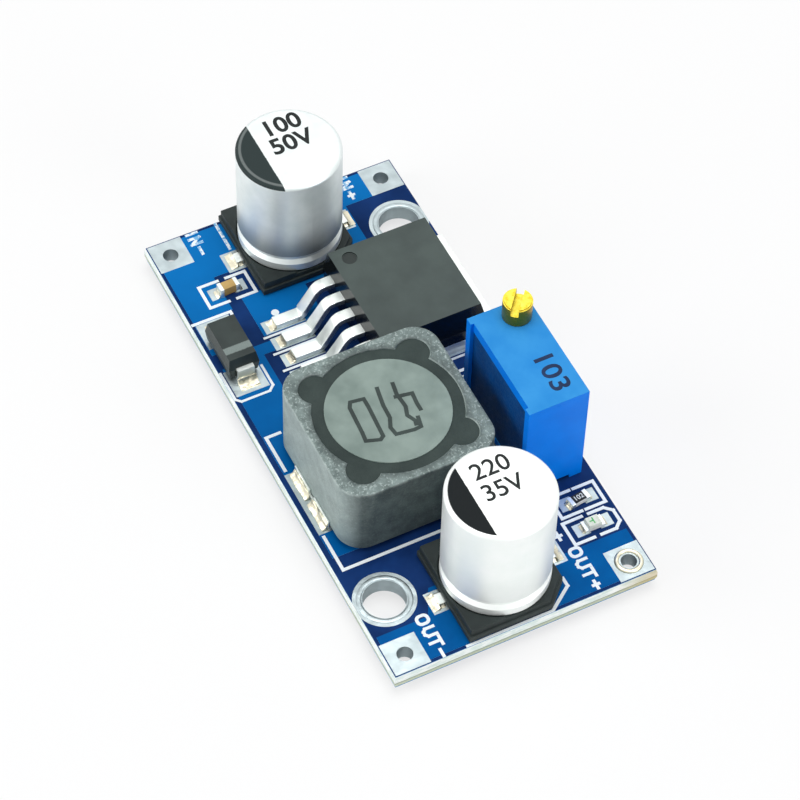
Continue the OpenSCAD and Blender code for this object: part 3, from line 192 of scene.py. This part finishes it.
def make_laminate():
    s = Shader("laminate")
    weave = s.noise(2.2, 4, 0.6, s.scaled(900, 900, 5200))
    coarse = s.noise(0.5, 3)
    tone = s.mix(s.ramp(coarse, 0.35, 0.65), srgb(232, 244, 240), srgb(214, 230, 224))
    color = s.mix(s.ramp(weave, 0.42, 0.62), tone, srgb(252, 254, 252))
    # the lower half was snapped along a score line and is rougher and greener
    z = s.axis(2)
    middle = (SEAT + UNDER) / 2
    wave = s.uneven(z, 1.3, 3, 0.12)
    low = s.ramp(wave, middle + 0.02 * MM, middle + 0.10 * MM, 1.0, 0.0)
    color = s.mix(s.math("MULTIPLY", low, 0.7), color, srgb(176, 186, 150))
    line = s.math("MULTIPLY", low, s.ramp(wave, middle - 0.08 * MM, middle + 0.01 * MM))
    color = s.mix(s.math("MULTIPLY", line, 0.55), color, srgb(70, 76, 60))
    # burnt tint at the positive output corner
    burnt = s.math("MULTIPLY", s.ramp(s.axis(0), 18.5 * MM, 20.0 * MM),
                   s.ramp(s.axis(1), 7.0 * MM, 9.8 * MM))
    color = s.mix(s.math("MULTIPLY", burnt, 0.55), color, srgb(206, 178, 104))
    return s.finish(color, s.ramp(weave, 0.3, 0.7, 0.55, 0.8), normal=s.bump(weave, 0.05, 0.7),
                    Specular_IOR_Level=0.3)


def make_mask():
    s = Shader("solder_mask")
    z = s.axis(2)
    # the mask stands higher where there is copper under it, and is paler there
    top_raised = s.ramp(z, SEAT - 0.0105 * MM, SEAT - 0.0055 * MM)
    low_raised = s.ramp(z, UNDER + 0.0300 * MM, UNDER + 0.0350 * MM, 1.0, 0.0)
    raised = s.math("MAXIMUM", top_raised, low_raised)
    cloud = s.noise(0.35, 3)
    fine = s.noise(9, 2)
    # painted light: the coat is painted paler towards the input end
    pale = s.ramp(s.axis(0), -21 * MM, 4 * MM, 1.0, 0.0)
    azure = s.mix(s.ramp(cloud, 0.35, 0.68), srgb(0, 82, 148), srgb(0, 94, 164))
    azure = s.mix(s.math("MULTIPLY", pale, 0.7), azure, srgb(16, 124, 200))
    navy = s.mix(s.ramp(cloud, 0.35, 0.68), srgb(16, 44, 92), srgb(24, 58, 116))
    color = s.mix(raised, navy, azure)
    # painted highlight: the steep walls of the steps at copper edges are painted pale
    step_wall_highlight = s.ramp(s.math("ABSOLUTE", s.facing(2)), 0.3, 0.7, 1.0, 0.0)
    color = s.mix(s.math("MULTIPLY", step_wall_highlight, 0.75), color, srgb(120, 190, 240))
    bump = s.bump(s.math("ADD", s.math("MULTIPLY", cloud, 1.5), fine), 0.006, 0.5)
    return s.finish(color, s.ramp(fine, 0.3, 0.7, 0.34, 0.46), normal=bump, Specular_IOR_Level=0.04)


def make_tin(name, tone=(222, 224, 218), lumps=1.0, rough=0.32):
    s = Shader(name)
    swell = s.noise(1.1, 2, 0.4)
    grit = s.noise(14, 3)
    color = s.mix(s.ramp(swell, 0.3, 0.7), srgb(*tone), srgb(*(min(255, v + 18) for v in tone)))
    bump = s.bump(swell, 0.08 * lumps, 0.6)
    bump = s.bump(grit, 0.004, 0.5, bump)
    return s.finish(color, s.ramp(grit, 0.3, 0.7, rough - 0.06, rough + 0.1), 1.0, bump)


def make_legend():
    s = Shader("legend_ink")
    grain = s.noise(16, 3)
    patch = s.noise(2.4, 3, 0.6)
    # the ink at the input end is rubbed through in places
    worn_end = s.ramp(s.axis(0), -18.5 * MM, -16.5 * MM, 1.0, 0.0)
    words = s.ramp(s.math("ABSOLUTE", s.axis(1)), 3.0 * MM, 4.2 * MM)
    worn = s.product(worn_end, words, s.ramp(patch, 0.46, 0.56))
    white = s.mix(s.ramp(grain, 0.3, 0.7), srgb(246, 250, 252), srgb(230, 240, 246))
    color = s.mix(s.math("MULTIPLY", worn, 0.85), white, srgb(60, 160, 216))
    return s.finish(color, 0.6, normal=s.bump(grain, 0.01, 0.4))


def make_can(name, node, dark, light, shade, edge_sheen, reach, shade_depth):
    """Bare aluminium with a printed dark segment on its top, out to a radius (mm), and painted
    shade that darkens the side down to the groove."""
    s = Shader(name)
    low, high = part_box(node)
    grain = s.noise(26, 2, 0.6)
    cloud = s.noise(0.5, 3)
    color = s.mix(s.ramp(cloud, 0.35, 0.65), srgb(*shade), srgb(*light))
    middle_x, middle_y = (low.x + high.x) / 2, (low.y + high.y) / 2
    chord = middle_y - 1.95 * MM
    inside = s.ramp(s.uneven(s.axis(1), 3, 2, 0.06), chord + 0.01 * MM, chord + 0.05 * MM, 1.0, 0.0)
    radius = s.length(s.math("SUBTRACT", s.axis(0), middle_x),
                      s.math("SUBTRACT", s.axis(1), middle_y))
    on_top = s.ramp(s.axis(2), high.z - 0.30 * MM, high.z - 0.25 * MM)
    within = s.ramp(radius, (reach - 0.04) * MM, (reach + 0.04) * MM, 1.0, 0.0)
    printed = s.product(inside, on_top, within)
    # painted shade: the side is painted darker from high up down to the groove
    groove = low.z + 1.75 * MM
    painted_shade = s.product(s.ramp(s.axis(2), groove, groove + 3.6 * MM, shade_depth, 0.0, True),
                     s.ramp(s.axis(2), groove - 0.15 * MM, groove))
    color = s.mix(painted_shade, color, srgb(62, 74, 74))
    # painted highlight: a pale ring is painted into the print where the top turns down
    line = s.product(s.ramp(radius, 3.52 * MM, 3.60 * MM),
                     s.ramp(radius, 3.72 * MM, 3.80 * MM, 1.0, 0.0))
    ink = s.mix(s.math("MULTIPLY", line, edge_sheen), srgb(*dark), srgb(206, 214, 212))
    color = s.mix(printed, color, ink)
    metal = s.math("SUBTRACT", 0.6, s.math("MULTIPLY", printed, 0.6))
    return s.finish(color, s.ramp(grain, 0.3, 0.7, 0.36, 0.46), metal, s.bump(grain, 0.004, 0.6),
                    Specular_IOR_Level=0.1)


def make_plastic(name, low, high, rough=(0.45, 0.6), per_mm=12.0, depth=0.006, **more):
    s = Shader(name)
    grain = s.noise(per_mm, 4, 0.65)
    cloud = s.noise(0.4, 3)
    color = s.mix(s.ramp(cloud, 0.32, 0.68), srgb(*low), srgb(*high))
    lighter = srgb(*(min(255, v + 26) for v in high))
    color = s.mix(s.ramp(grain, 0.62, 0.78, 0.0, 0.25), color, lighter)
    more.setdefault("Specular_IOR_Level", 0.25)
    return s.finish(color, s.ramp(grain, 0.3, 0.7, *rough), normal=s.bump(grain, depth, 0.8), **more)


def make_ferrite():
    s = Shader("ferrite")
    low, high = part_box("inductor_shield")
    grain = s.noise(10, 4, 0.7)
    cloud = s.noise(0.9, 5, 0.65)
    specks = s.noise(6, 3, 0.6)
    color = s.mix(s.ramp(cloud, 0.36, 0.62), srgb(84, 99, 97), srgb(126, 142, 139))
    # pale rubbed specks, mostly on the top face and along its edges
    top = s.ramp(s.facing(2), 0.4, 0.9)
    speckled = s.product(s.ramp(specks, 0.54, 0.66), s.ramp(top, 0, 1, 0.25, 0.6))
    color = s.mix(speckled, color, srgb(196, 210, 206))
    edge = s.ramp(s.axis(2), high.z - 0.25 * MM, high.z - 0.02 * MM)
    rub = s.product(edge, s.ramp(top, 0, 1, 1.0, 0.0), s.ramp(cloud, 0.42, 0.56))
    color = s.mix(s.math("MULTIPLY", rub, 0.6), color, srgb(206, 216, 212))
    # dark halo of adhesive round the bore and round the four lobes
    lobe_at = 3.9 * MM
    dx = s.math("SUBTRACT", s.axis(0), (low.x + high.x) / 2)
    dy = s.math("SUBTRACT", s.axis(1), (low.y + high.y) / 2)
    near = s.ramp(s.uneven(s.length(dx, dy), 1.5, 2, 0.6), 5.85 * MM, 6.45 * MM, 1.0, 0.0)
    lobe = s.length(s.math("SUBTRACT", s.math("ABSOLUTE", dx), lobe_at),
                    s.math("SUBTRACT", s.math("ABSOLUTE", dy), lobe_at))
    lobe = s.ramp(s.uneven(lobe, 2, 2, 0.8), 1.60 * MM, 2.10 * MM, 1.0, 0.0)
    halo = s.math("MULTIPLY", s.math("MAXIMUM", near, lobe), top)
    color = s.mix(s.math("MULTIPLY", halo, 0.7), color, srgb(58, 71, 69))
    # painted shade on the side towards the output capacitor, painted light on the outer long side
    color = s.mix(s.ramp(s.facing(0), 0.3, 0.9, 0.0, 0.65), color, srgb(34, 44, 46))
    color = s.mix(s.ramp(s.facing(1), -0.9, -0.4, 0.35, 0.0), color, srgb(176, 192, 190))
    return s.finish(color, s.ramp(grain, 0.3, 0.7, 0.35, 0.55), normal=s.bump(grain, 0.02, 0.8))


def make_package():
    """Moulded body: satin top painted lighter than the glossy sides as painted light, and painted
    shade in the dimple over its first lead.
    """
    s = Shader("package_plastic")
    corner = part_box("regulator_body")[0]
    grain = s.noise(16, 4, 0.65)
    cloud = s.noise(0.4, 3)
    top = s.ramp(s.facing(2), 0.75, 0.95)
    # painted light: the satin top is painted grey, lighter than the near-black sides
    satin = s.mix(s.ramp(cloud, 0.32, 0.68), srgb(62, 72, 70), srgb(72, 83, 80))
    color = s.mix(top, srgb(14, 17, 18), satin)
    # painted shade: a dark disc in the dimple over the first lead
    away = s.length(s.math("SUBTRACT", s.axis(0), corner.x + 1.55 * MM),
                    s.math("SUBTRACT", s.axis(1), corner.y + 1.50 * MM))
    color = s.mix(s.ramp(away, 0.50 * MM, 0.60 * MM, 0.75, 0.0), color, srgb(26, 31, 31))
    rough = s.ramp(top, 0.0, 1.0, 0.14, 0.5)
    return s.finish(color, rough, normal=s.bump(grain, 0.008, 0.6), Specular_IOR_Level=0.3)


def make_diode():
    s = Shader("diode_plastic")
    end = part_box("diode_body")[1].x
    grain = s.noise(16, 4, 0.65)
    cloud = s.noise(0.5, 3)
    color = s.mix(s.ramp(cloud, 0.32, 0.68), srgb(38, 47, 46), srgb(50, 60, 58))
    # pale cathode band printed across the top
    across = s.uneven(s.axis(0), 5, 2, 0.08)
    band = s.product(s.ramp(across, end - 1.40 * MM, end - 1.32 * MM),
                     s.ramp(across, end - 0.78 * MM, end - 0.70 * MM, 1.0, 0.0),
                     s.ramp(s.facing(2), 0.5, 0.8), s.ramp(grain, 0.3, 0.7, 0.5, 0.75))
    color = s.mix(band, color, srgb(150, 164, 160))
    return s.finish(color, s.ramp(grain, 0.3, 0.7, 0.34, 0.48), normal=s.bump(grain, 0.008, 0.7),
                    Specular_IOR_Level=0.3)


def make_trimmer():
    s = Shader("trimmer_blue")
    grain = s.noise(10, 4, 0.65)
    cloud = s.noise(0.35, 3)
    # painted light: the top is painted paler than the sides
    top = s.ramp(s.facing(2), 0.5, 0.9)
    sides = s.mix(s.ramp(cloud, 0.32, 0.68), srgb(0, 122, 236), srgb(0, 132, 246))
    lid = s.mix(s.ramp(cloud, 0.32, 0.68), srgb(40, 136, 212), srgb(58, 152, 222))
    color = s.mix(top, sides, lid)
    return s.finish(color, s.ramp(grain, 0.3, 0.7, 0.30, 0.42), normal=s.bump(grain, 0.004, 0.7),
                    Specular_IOR_Level=0.1)


def make_copper():
    s = Shader("copper")
    grain = s.noise(14, 3)
    color = s.mix(s.ramp(grain, 0.3, 0.7), srgb(186, 108, 70), srgb(214, 138, 92))
    return s.finish(color, s.ramp(grain, 0.3, 0.7, 0.28, 0.45), 1.0, s.bump(grain, 0.004, 0.5))


def make_brass():
    s = Shader("screw_brass")
    rings = s.noise(8, 2, 0.5, s.scaled(3000, 3000, 14000))
    color = s.mix(s.ramp(rings, 0.3, 0.7), srgb(242, 214, 58), srgb(252, 236, 96))
    # painted shade: the side of the screw head is painted dark brown
    side = s.ramp(s.math("ABSOLUTE", s.facing(2)), 0.3, 0.8, 1.0, 0.0)
    color = s.mix(s.math("MULTIPLY", side, 0.8), color, srgb(120, 84, 22))
    return s.finish(color, s.ramp(rings, 0.3, 0.7, 0.26, 0.40), 0.9, s.bump(rings, 0.006, 0.5))


def make_lens():
    s = Shader("lens")
    grain = s.noise(5, 2)
    color = s.mix(s.ramp(grain, 0.3, 0.7), srgb(226, 232, 214), srgb(244, 248, 236))
    return s.finish(color, 0.25, Transmission_Weight=0.08, Coat_Weight=0.3)


M = {
    "laminate": make_laminate(),
    "mask": make_mask(),
    "copper": make_copper(),
    "tin": make_tin("tin", (172, 184, 187), 1.0, 0.4),
    "solder": make_tin("solder", (222, 216, 192), 1.4, 0.3),
    "terminal": make_tin("terminal_metal", (232, 238, 234), 0.25, 0.34),
    "legend": make_legend(),
    "can_in": make_can("can_aluminium_in", "input_can", (48, 58, 58), (238, 244, 243),
                       (226, 234, 233), edge_sheen=0.22, reach=4.2, shade_depth=0.62),
    "can_out": make_can("can_aluminium_out", "output_can", (24, 29, 31), (252, 255, 253),
                        (246, 251, 248), edge_sheen=0.0, reach=3.7, shade_depth=0.12),
    "base": make_plastic("base_plastic", (34, 41, 41), (46, 55, 54)),
    "rubber": make_plastic("rubber", (34, 35, 36), (44, 45, 46), (0.6, 0.8)),
    "paper": make_plastic("paper_winding", (196, 178, 140), (214, 198, 164), (0.7, 0.9), 6),
    "package": make_package(),
    "diode": make_diode(),
    "silicon": make_plastic("silicon", (70, 72, 86), (90, 92, 108), (0.2, 0.3)),
    "ferrite": make_ferrite(),
    "drum": make_plastic("drum_ferrite", (120, 136, 130), (144, 160, 153), (0.5, 0.7), 9, 0.012),
    "wire": make_copper(),
    "adhesive": make_plastic("adhesive", (38, 50, 48), (54, 66, 63), (0.5, 0.7), 5, 0.04),
    "board_plastic": make_plastic("board_plastic", (38, 40, 40), (50, 52, 52)),
    "mlcc": make_plastic("ceramic_brown", (176, 142, 84), (206, 172, 110), (0.4, 0.5), 8),
    "ceramic": make_plastic("ceramic_white", (222, 224, 222), (238, 240, 238), (0.4, 0.55), 8),
    "film": make_plastic("resistor_film", (30, 32, 34), (44, 46, 48), (0.3, 0.45), 10),
    "lens": make_lens(),
    "gold": make_brass(),
    "trimmer": make_trimmer(),
    "resin": make_plastic("trimmer_resin", (0, 56, 112), (4, 74, 140), (0.4, 0.55), 4, 0.03),
    "ink_navy": make_plastic("ink_navy", (10, 34, 70), (22, 50, 92), (0.5, 0.6), 20),
    "ink_dark": make_plastic("ink_dark", (16, 21, 21), (30, 36, 36), (0.5, 0.6), 20),
    "ink_grey": make_plastic("ink_grey", (44, 54, 52), (62, 74, 71), (0.5, 0.6), 20),
    "ink_pale": make_plastic("ink_pale", (216, 222, 222), (234, 238, 238), (0.5, 0.6), 20),
    "ink_green": make_plastic("ink_green", (60, 170, 90), (90, 190, 110), (0.5, 0.6), 20),
    "brass": make_brass(),
    "wheel": make_plastic("wheel_plastic", (228, 228, 220), (240, 240, 234), (0.4, 0.5), 6),
}

NODE_MATERIAL = {
    "laminate": "laminate", "copper_top": "copper", "copper_bottom": "copper",
    "mask_top": "mask", "mask_bottom": "mask", "tinned_pads": "tin",
    "mounting_hole_plating": "tin", "wire_hole_plating": "tin", "pin_hole_plating": "tin",
    "legend": "legend",
    "input_can": "can_in", "input_base": "base", "input_bung": "rubber", "input_winding": "paper",
    "input_terminals": "terminal",
    "output_can": "can_out", "output_base": "base", "output_bung": "rubber",
    "output_winding": "paper", "output_terminals": "terminal",
    "regulator_body": "package", "regulator_heat_tab": "terminal", "regulator_leads": "terminal",
    "regulator_die": "silicon",
    "inductor_shield": "ferrite", "inductor_drum": "drum", "inductor_winding": "wire",
    "inductor_adhesive": "adhesive", "inductor_board": "board_plastic",
    "inductor_terminals": "terminal",
    "diode_body": "diode", "diode_leads": "terminal", "diode_die": "silicon",
    "ceramic_capacitor": "mlcc", "ceramic_capacitor_ends": "terminal",
    "series_resistor": "ceramic", "series_resistor_film": "film", "series_resistor_ends": "terminal",
    "divider_resistor": "ceramic", "divider_resistor_film": "film",
    "divider_resistor_ends": "terminal",
    "lamp_carrier": "ceramic", "lamp_lens": "lens", "lamp_ends": "terminal",
    "trimmer_housing": "trimmer", "trimmer_seal": "resin", "trimmer_element": "ceramic",
    "trimmer_pins": "terminal", "trimmer_screw": "brass", "trimmer_o_ring": "rubber",
    "trimmer_wheel": "wheel", "trimmer_wiper": "gold",
    "solder_capacitors": "solder", "solder_regulator": "solder", "solder_inductor": "solder",
    "solder_diode": "solder", "solder_chips": "solder", "solder_trimmer": "solder",
}
for name, key in NODE_MATERIAL.items():
    nodes[name].data.materials.clear()
    nodes[name].data.materials.append(M[key])


# ------------------------------------------------------------------ softened edges of the nodes

EDGE_MM = {
    "regulator_body": 0.14, "diode_body": 0.14, "trimmer_housing": 0.14, "inductor_shield": 0.20,
    "input_base": 0.16, "output_base": 0.16, "regulator_heat_tab": 0.06, "regulator_leads": 0.06,
    "input_terminals": 0.05, "output_terminals": 0.05, "inductor_terminals": 0.05,
    "inductor_drum": 0.06, "laminate": 0.04, "ceramic_capacitor": 0.05,
    "ceramic_capacitor_ends": 0.05, "series_resistor": 0.03, "series_resistor_ends": 0.04,
    "divider_resistor": 0.03, "divider_resistor_ends": 0.04, "lamp_lens": 0.06, "trimmer_screw": 0.05,
}
for name, width in EDGE_MM.items():
    weld = nodes[name].modifiers.new("weld", "WELD")
    weld.merge_threshold = 0.0005 * MM
    round_off = nodes[name].modifiers.new("edge", "BEVEL")
    round_off.width = width * MM
    round_off.segments = 3
    round_off.limit_method = "ANGLE"
    round_off.angle_limit = math.radians(35)
    round_off.use_clamp_overlap = True


# Solder has run: its joints are remeshed finely, smoothed, and slightly uneven
waves = bpy.data.textures.new("solder_waves", "CLOUDS")
waves.noise_scale = 0.9 * MM
SOLDER_CELL_MM = {
    "solder_capacitors": 0.05, "solder_regulator": 0.05, "solder_inductor": 0.07,
    "solder_diode": 0.06, "solder_chips": 0.035,
}
for name, cell in SOLDER_CELL_MM.items():
    grid = nodes[name].modifiers.new("grid", "REMESH")
    grid.mode = "VOXEL"
    grid.voxel_size = cell * MM
    grid.use_smooth_shade = True
    flow = nodes[name].modifiers.new("flow", "SMOOTH")
    flow.iterations = 9
    flow.factor = 0.6
    lumps = nodes[name].modifiers.new("lumps", "DISPLACE")
    lumps.texture = waves
    lumps.texture_coords = "LOCAL"
    lumps.strength = 2.4 * cell * MM
    lumps.mid_level = 0.45


# ------------------------------------------------------------------ printed marks and small details

def ride_root(piece, material):
    """Gives the piece its material and fixes it to the board."""
    piece.data.materials.clear()
    piece.data.materials.append(M[material])
    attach(piece, "root")


def print_words(name, words, centre, size_mm, turn, material, weight=0.0, stretch=1.0):
    """Printed characters lying flat, with the middle of the line at centre."""
    data = bpy.data.curves.new(name, "FONT")
    data.body = words
    data.size = size_mm * MM
    data.align_x = "CENTER"
    data.align_y = "CENTER"
    data.offset = weight * MM
    data.extrude = 0.006 * MM
    data.resolution_u = 5
    data.fill_mode = "BOTH"
    piece = bpy.data.objects.new(name, data)
    bpy.context.scene.collection.objects.link(piece)
    piece.location = centre
    piece.rotation_euler = (0, 0, math.radians(turn))
    piece.scale = (stretch, 1, 1)
    ride_root(piece, material)


def ribbon(name, lines, width_mm, z, material):
    """Printed strokes: each line is a list of XY points in millimetres, with mitred corners."""
    verts, faces = [], []
    for level, line in enumerate(lines):
        closed = line[0] == line[-1]
        points = [Vector(p) for p in (line[:-1] if closed else line)]
        count = len(points)
        base = len(verts)
        for i, point in enumerate(points):
            before = points[i - 1] if closed or i else 2 * point - points[1]
            after = points[(i + 1) % count] if closed or i < count - 1 else 2 * point - points[i - 1]
            a, b = (point - before).normalized(), (after - point).normalized()
            run = (a + b).normalized()
            side = Vector((-run.y, run.x)) * (width_mm / 2 / max(0.5, run.dot(a)))
            for edge in (point + side, point - side):
                for lift in (-0.004, 0.010 + 0.003 * level):
                    verts.append((edge.x * MM, edge.y * MM, z + lift * MM))
        # four points at each place: left low, left high, right low, right high
        for i in range(count if closed else count - 1):
            p, q = base + 4 * i, base + 4 * ((i + 1) % count)
            faces += [(p + 1, p + 3, q + 3, q + 1), (p, q, q + 2, p + 2),
                      (p, p + 1, q + 1, q), (p + 2, q + 2, q + 3, p + 3)]
        if not closed:
            last = base + 4 * (count - 1)
            faces += [(base, base + 2, base + 3, base + 1), (last, last + 1, last + 3, last + 2)]
    data = bpy.data.meshes.new(name)
    data.from_pydata(verts, [], faces)
    data.validate()
    piece = bpy.data.objects.new(name, data)
    bpy.context.scene.collection.objects.link(piece)
    ride_root(piece, material)


def turned(name, centre, profile, material, steps=64):
    """A closed profile of (radius, height) points in millimetres, turned about a Z axis."""
    count = len(profile)
    verts, faces = [], []
    for i in range(steps):
        a = 2 * math.pi * i / steps
        verts += [(r * MM * math.cos(a), r * MM * math.sin(a), h * MM) for r, h in profile]
    for i in range(steps):
        j = (i + 1) % steps
        for k in range(count):
            m = (k + 1) % count
            faces.append((i * count + k, j * count + k, j * count + m, i * count + m))
    data = bpy.data.meshes.new(name)
    data.from_pydata(verts, [], faces)
    for face in data.polygons:
        face.use_smooth = True
    piece = bpy.data.objects.new(name, data)
    bpy.context.scene.collection.objects.link(piece)
    piece.location = centre
    ride_root(piece, material)


def middle_top(node):
    """The middle of a node's top."""
    low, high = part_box(node)
    return Vector(((low.x + high.x) / 2, (low.y + high.y) / 2, high.z))


LIFT = Vector((0, 0, 0.006 * MM))         # prints lie this far above their surface


def on_top(node, dx, dy):
    """A place for print on a node's top, in millimetres from its middle."""
    return middle_top(node) + Vector((dx * MM, dy * MM, 0)) + LIFT


# capacity and voltage on the cans read along +Y
print_words("input_can_print_1", "100", on_top("input_can", -2.30, 0.45), 2.1, 90, "ink_dark", 0.05)
print_words("input_can_print_2", "50V", on_top("input_can", -0.45, 0.45), 2.1, 90, "ink_dark", 0.05)
print_words("output_can_print_1", "220", on_top("output_can", -2.10, 0.25), 1.95, 90,
            "ink_dark", 0.02)
print_words("output_can_print_2", "35V", on_top("output_can", -0.20, 0.25), 1.95, 90,
            "ink_dark", 0.02)

drum = middle_top("inductor_drum")
ribbon("inductor_print", [
    # 0, 7 and 4, worn and squarish, with their tops towards +X
    [(3.15, -5.05), (3.30, -4.05), (4.05, -4.05), (6.85, -4.25), (7.05, -4.55), (6.70, -5.55),
     (5.90, -5.45), (3.60, -5.30), (3.15, -5.05)],
    [(2.75, -2.75), (3.55, -2.90), (4.45, -3.05), (5.60, -3.10), (6.40, -3.45), (7.10, -3.35),
     (7.30, -2.00), (7.25, -1.45), (6.30, -1.25)],
    [(2.85, -1.55), (4.00, -1.75), (4.40, -1.70), (5.20, -1.65), (5.95, -1.90), (6.60, -1.60),
     (7.05, -1.70)],
    [(4.10, -2.05), (4.35, -0.70), (5.30, -0.80), (6.00, -0.80)],
], 0.30, drum.z, "ink_grey")

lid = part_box("trimmer_housing")[1]
print_words("trimmer_print", "103", lid + Vector((-2.75 * MM, -1.65 * MM, 0)) + LIFT, 2.1, 0,
            "ink_navy", 0.03, 1.2)
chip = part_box("divider_resistor_film")
print_words("series_resistor_print", "102", middle_top("series_resistor_film") + LIFT, 0.55, 98,
            "ink_pale", 0.008)
lamp = middle_top("lamp_lens")
lx, ly = lamp.x / MM, lamp.y / MM
ribbon("lamp_mark", [[(lx - 0.28, ly), (lx + 0.28, ly)], [(lx, ly), (lx, ly - 0.3)]], 0.09, lamp.z,
       "ink_green")

# a raised ring of solder stands round the positive output hole, and eyelets line the mounts
turned("solder_ring_output", Vector((19.95 * MM, 8.95 * MM, SEAT)), [
    (0.72, 0.0), (0.74, 0.10), (0.86, 0.16), (1.00, 0.12), (1.08, 0.0)], "solder")
for label, x, y in (("output", 15.25, -8.2), ("input", -15.25, 8.2)):
    turned("mount_ring_" + label, Vector((x * MM, y * MM, SEAT)), [
        (1.64, -0.02), (1.66, 0.035), (1.76, 0.055), (1.92, 0.05), (2.02, 0.03), (2.06, -0.02),
    ], "tin", 96)


# ------------------------------------------------------------------ camera, light and floor

def look_camera():
    """The camera that was fitted to the photograph, from the board's corners and its parts."""
    az, el, roll = 1.08162087, 0.92910056, 0.03154431
    target = Vector((1.7219, -0.2680, 4.6544)) * MM
    distance = 238.3826 * MM
    back = Vector((math.sin(az) * math.cos(el), -math.cos(az) * math.cos(el), math.sin(el)))
    level = Vector((math.cos(az), math.sin(az), 0))
    upright = back.cross(level)
    right = level * math.cos(roll) + upright * math.sin(roll)
    up = upright * math.cos(roll) - level * math.sin(roll)
    data = bpy.data.cameras.new("camera")
    data.lens = 147.04
    data.sensor_width = 36
    data.clip_start = 0.01
    data.clip_end = 10
    cam = bpy.data.objects.new("camera", data)
    place = target + back * distance
    cam.matrix_world = Matrix((
        (right.x, up.x, back.x, place.x),
        (right.y, up.y, back.y, place.y),
        (right.z, up.z, back.z, place.z),
        (0, 0, 0, 1)))
    bpy.context.scene.collection.objects.link(cam)
    bpy.context.scene.camera = cam


def soft_light(name, place, aim, size, level):
    """An area lamp whose light alone would show a face turned to it at that level."""
    data = bpy.data.lights.new(name, "AREA")
    data.shape = "DISK"
    data.size = size
    gap = (Vector(place) - Vector(aim)).length
    data.energy = level * math.pi * math.pi * (gap ** 2 + (size / 2) ** 2)
    lamp = bpy.data.objects.new(name, data)
    lamp.location = place
    lamp.rotation_euler = (Vector(aim) - Vector(place)).to_track_quat("-Z", "Y").to_euler()
    bpy.context.scene.collection.objects.link(lamp)


def make_world():
    """White behind everything and in reflections, and a plain soft level for the rest."""
    world = bpy.data.worlds.new("studio")
    bpy.context.scene.world = world
    world.use_nodes = True
    tree = world.node_tree
    tree.nodes.clear()
    out = tree.nodes.new("ShaderNodeOutputWorld")
    mix = tree.nodes.new("ShaderNodeMixShader")
    path = tree.nodes.new("ShaderNodeLightPath")
    seen = tree.nodes.new("ShaderNodeBackground")
    seen.inputs["Color"].default_value = (1, 1, 1, 1)
    seen.inputs["Strength"].default_value = 1.0
    lit = tree.nodes.new("ShaderNodeBackground")
    lit.inputs["Color"].default_value = (0.97, 0.985, 1.0, 1)
    lit.inputs["Strength"].default_value = 0.48
    either = tree.nodes.new("ShaderNodeMath")
    either.operation = "MAXIMUM"
    tree.links.new(path.outputs["Is Camera Ray"], either.inputs[0])
    tree.links.new(path.outputs["Is Glossy Ray"], either.inputs[1])
    through = tree.nodes.new("ShaderNodeMath")
    through.operation = "MAXIMUM"
    tree.links.new(either.outputs[0], through.inputs[0])
    tree.links.new(path.outputs["Is Transmission Ray"], through.inputs[1])
    tree.links.new(through.outputs[0], mix.inputs[0])
    tree.links.new(lit.outputs[0], mix.inputs[1])
    tree.links.new(seen.outputs[0], mix.inputs[2])
    tree.links.new(mix.outputs[0], out.inputs[0])


def make_floor():
    """A pale floor that glows a little for the camera, so that it stays near white."""
    data = bpy.data.meshes.new("floor")
    half = 3.0
    z = cad_lo.z - 0.02 * MM
    data.from_pydata([(-half, -half, z), (half, -half, z), (half, half, z), (-half, half, z)],
                     [], [(0, 1, 2, 3)])
    floor = bpy.data.objects.new("floor", data)
    bpy.context.scene.collection.objects.link(floor)
    s = Shader("floor_white")
    paper = s.noise(0.02, 2)
    color = s.mix(paper, (0.86, 0.86, 0.86), (0.88, 0.88, 0.88))
    diffuse = s.add("ShaderNodeBsdfDiffuse")
    s.link(color, diffuse.inputs["Color"])
    glow = s.add("ShaderNodeEmission")
    glow.inputs["Color"].default_value = (1, 1, 1, 1)
    glow.inputs["Strength"].default_value = 1.0
    path = s.add("ShaderNodeLightPath")
    mix = s.add("ShaderNodeMixShader")
    s.link(s.math("MULTIPLY", path.outputs["Is Camera Ray"], 0.7), mix.inputs[0])
    s.tree.links.new(diffuse.outputs[0], mix.inputs[1])
    s.tree.links.new(glow.outputs[0], mix.inputs[2])
    s.tree.links.new(mix.outputs[0], s.output.inputs["Surface"])
    data.materials.append(s.material)


look_camera()
make_world()
make_floor()
soft_light("key", (-0.05, 0.05, 0.65), (0, 0, 0), 0.45, 0.40)
soft_light("side", (0.50, 0.25, 0.25), (0, 0, 0), 0.35, 0.22)
soft_light("low", (-0.10, -0.50, 0.28), (0, 0, 0), 0.40, 0.34)

view = bpy.context.scene.view_settings
view.view_transform = "Standard"
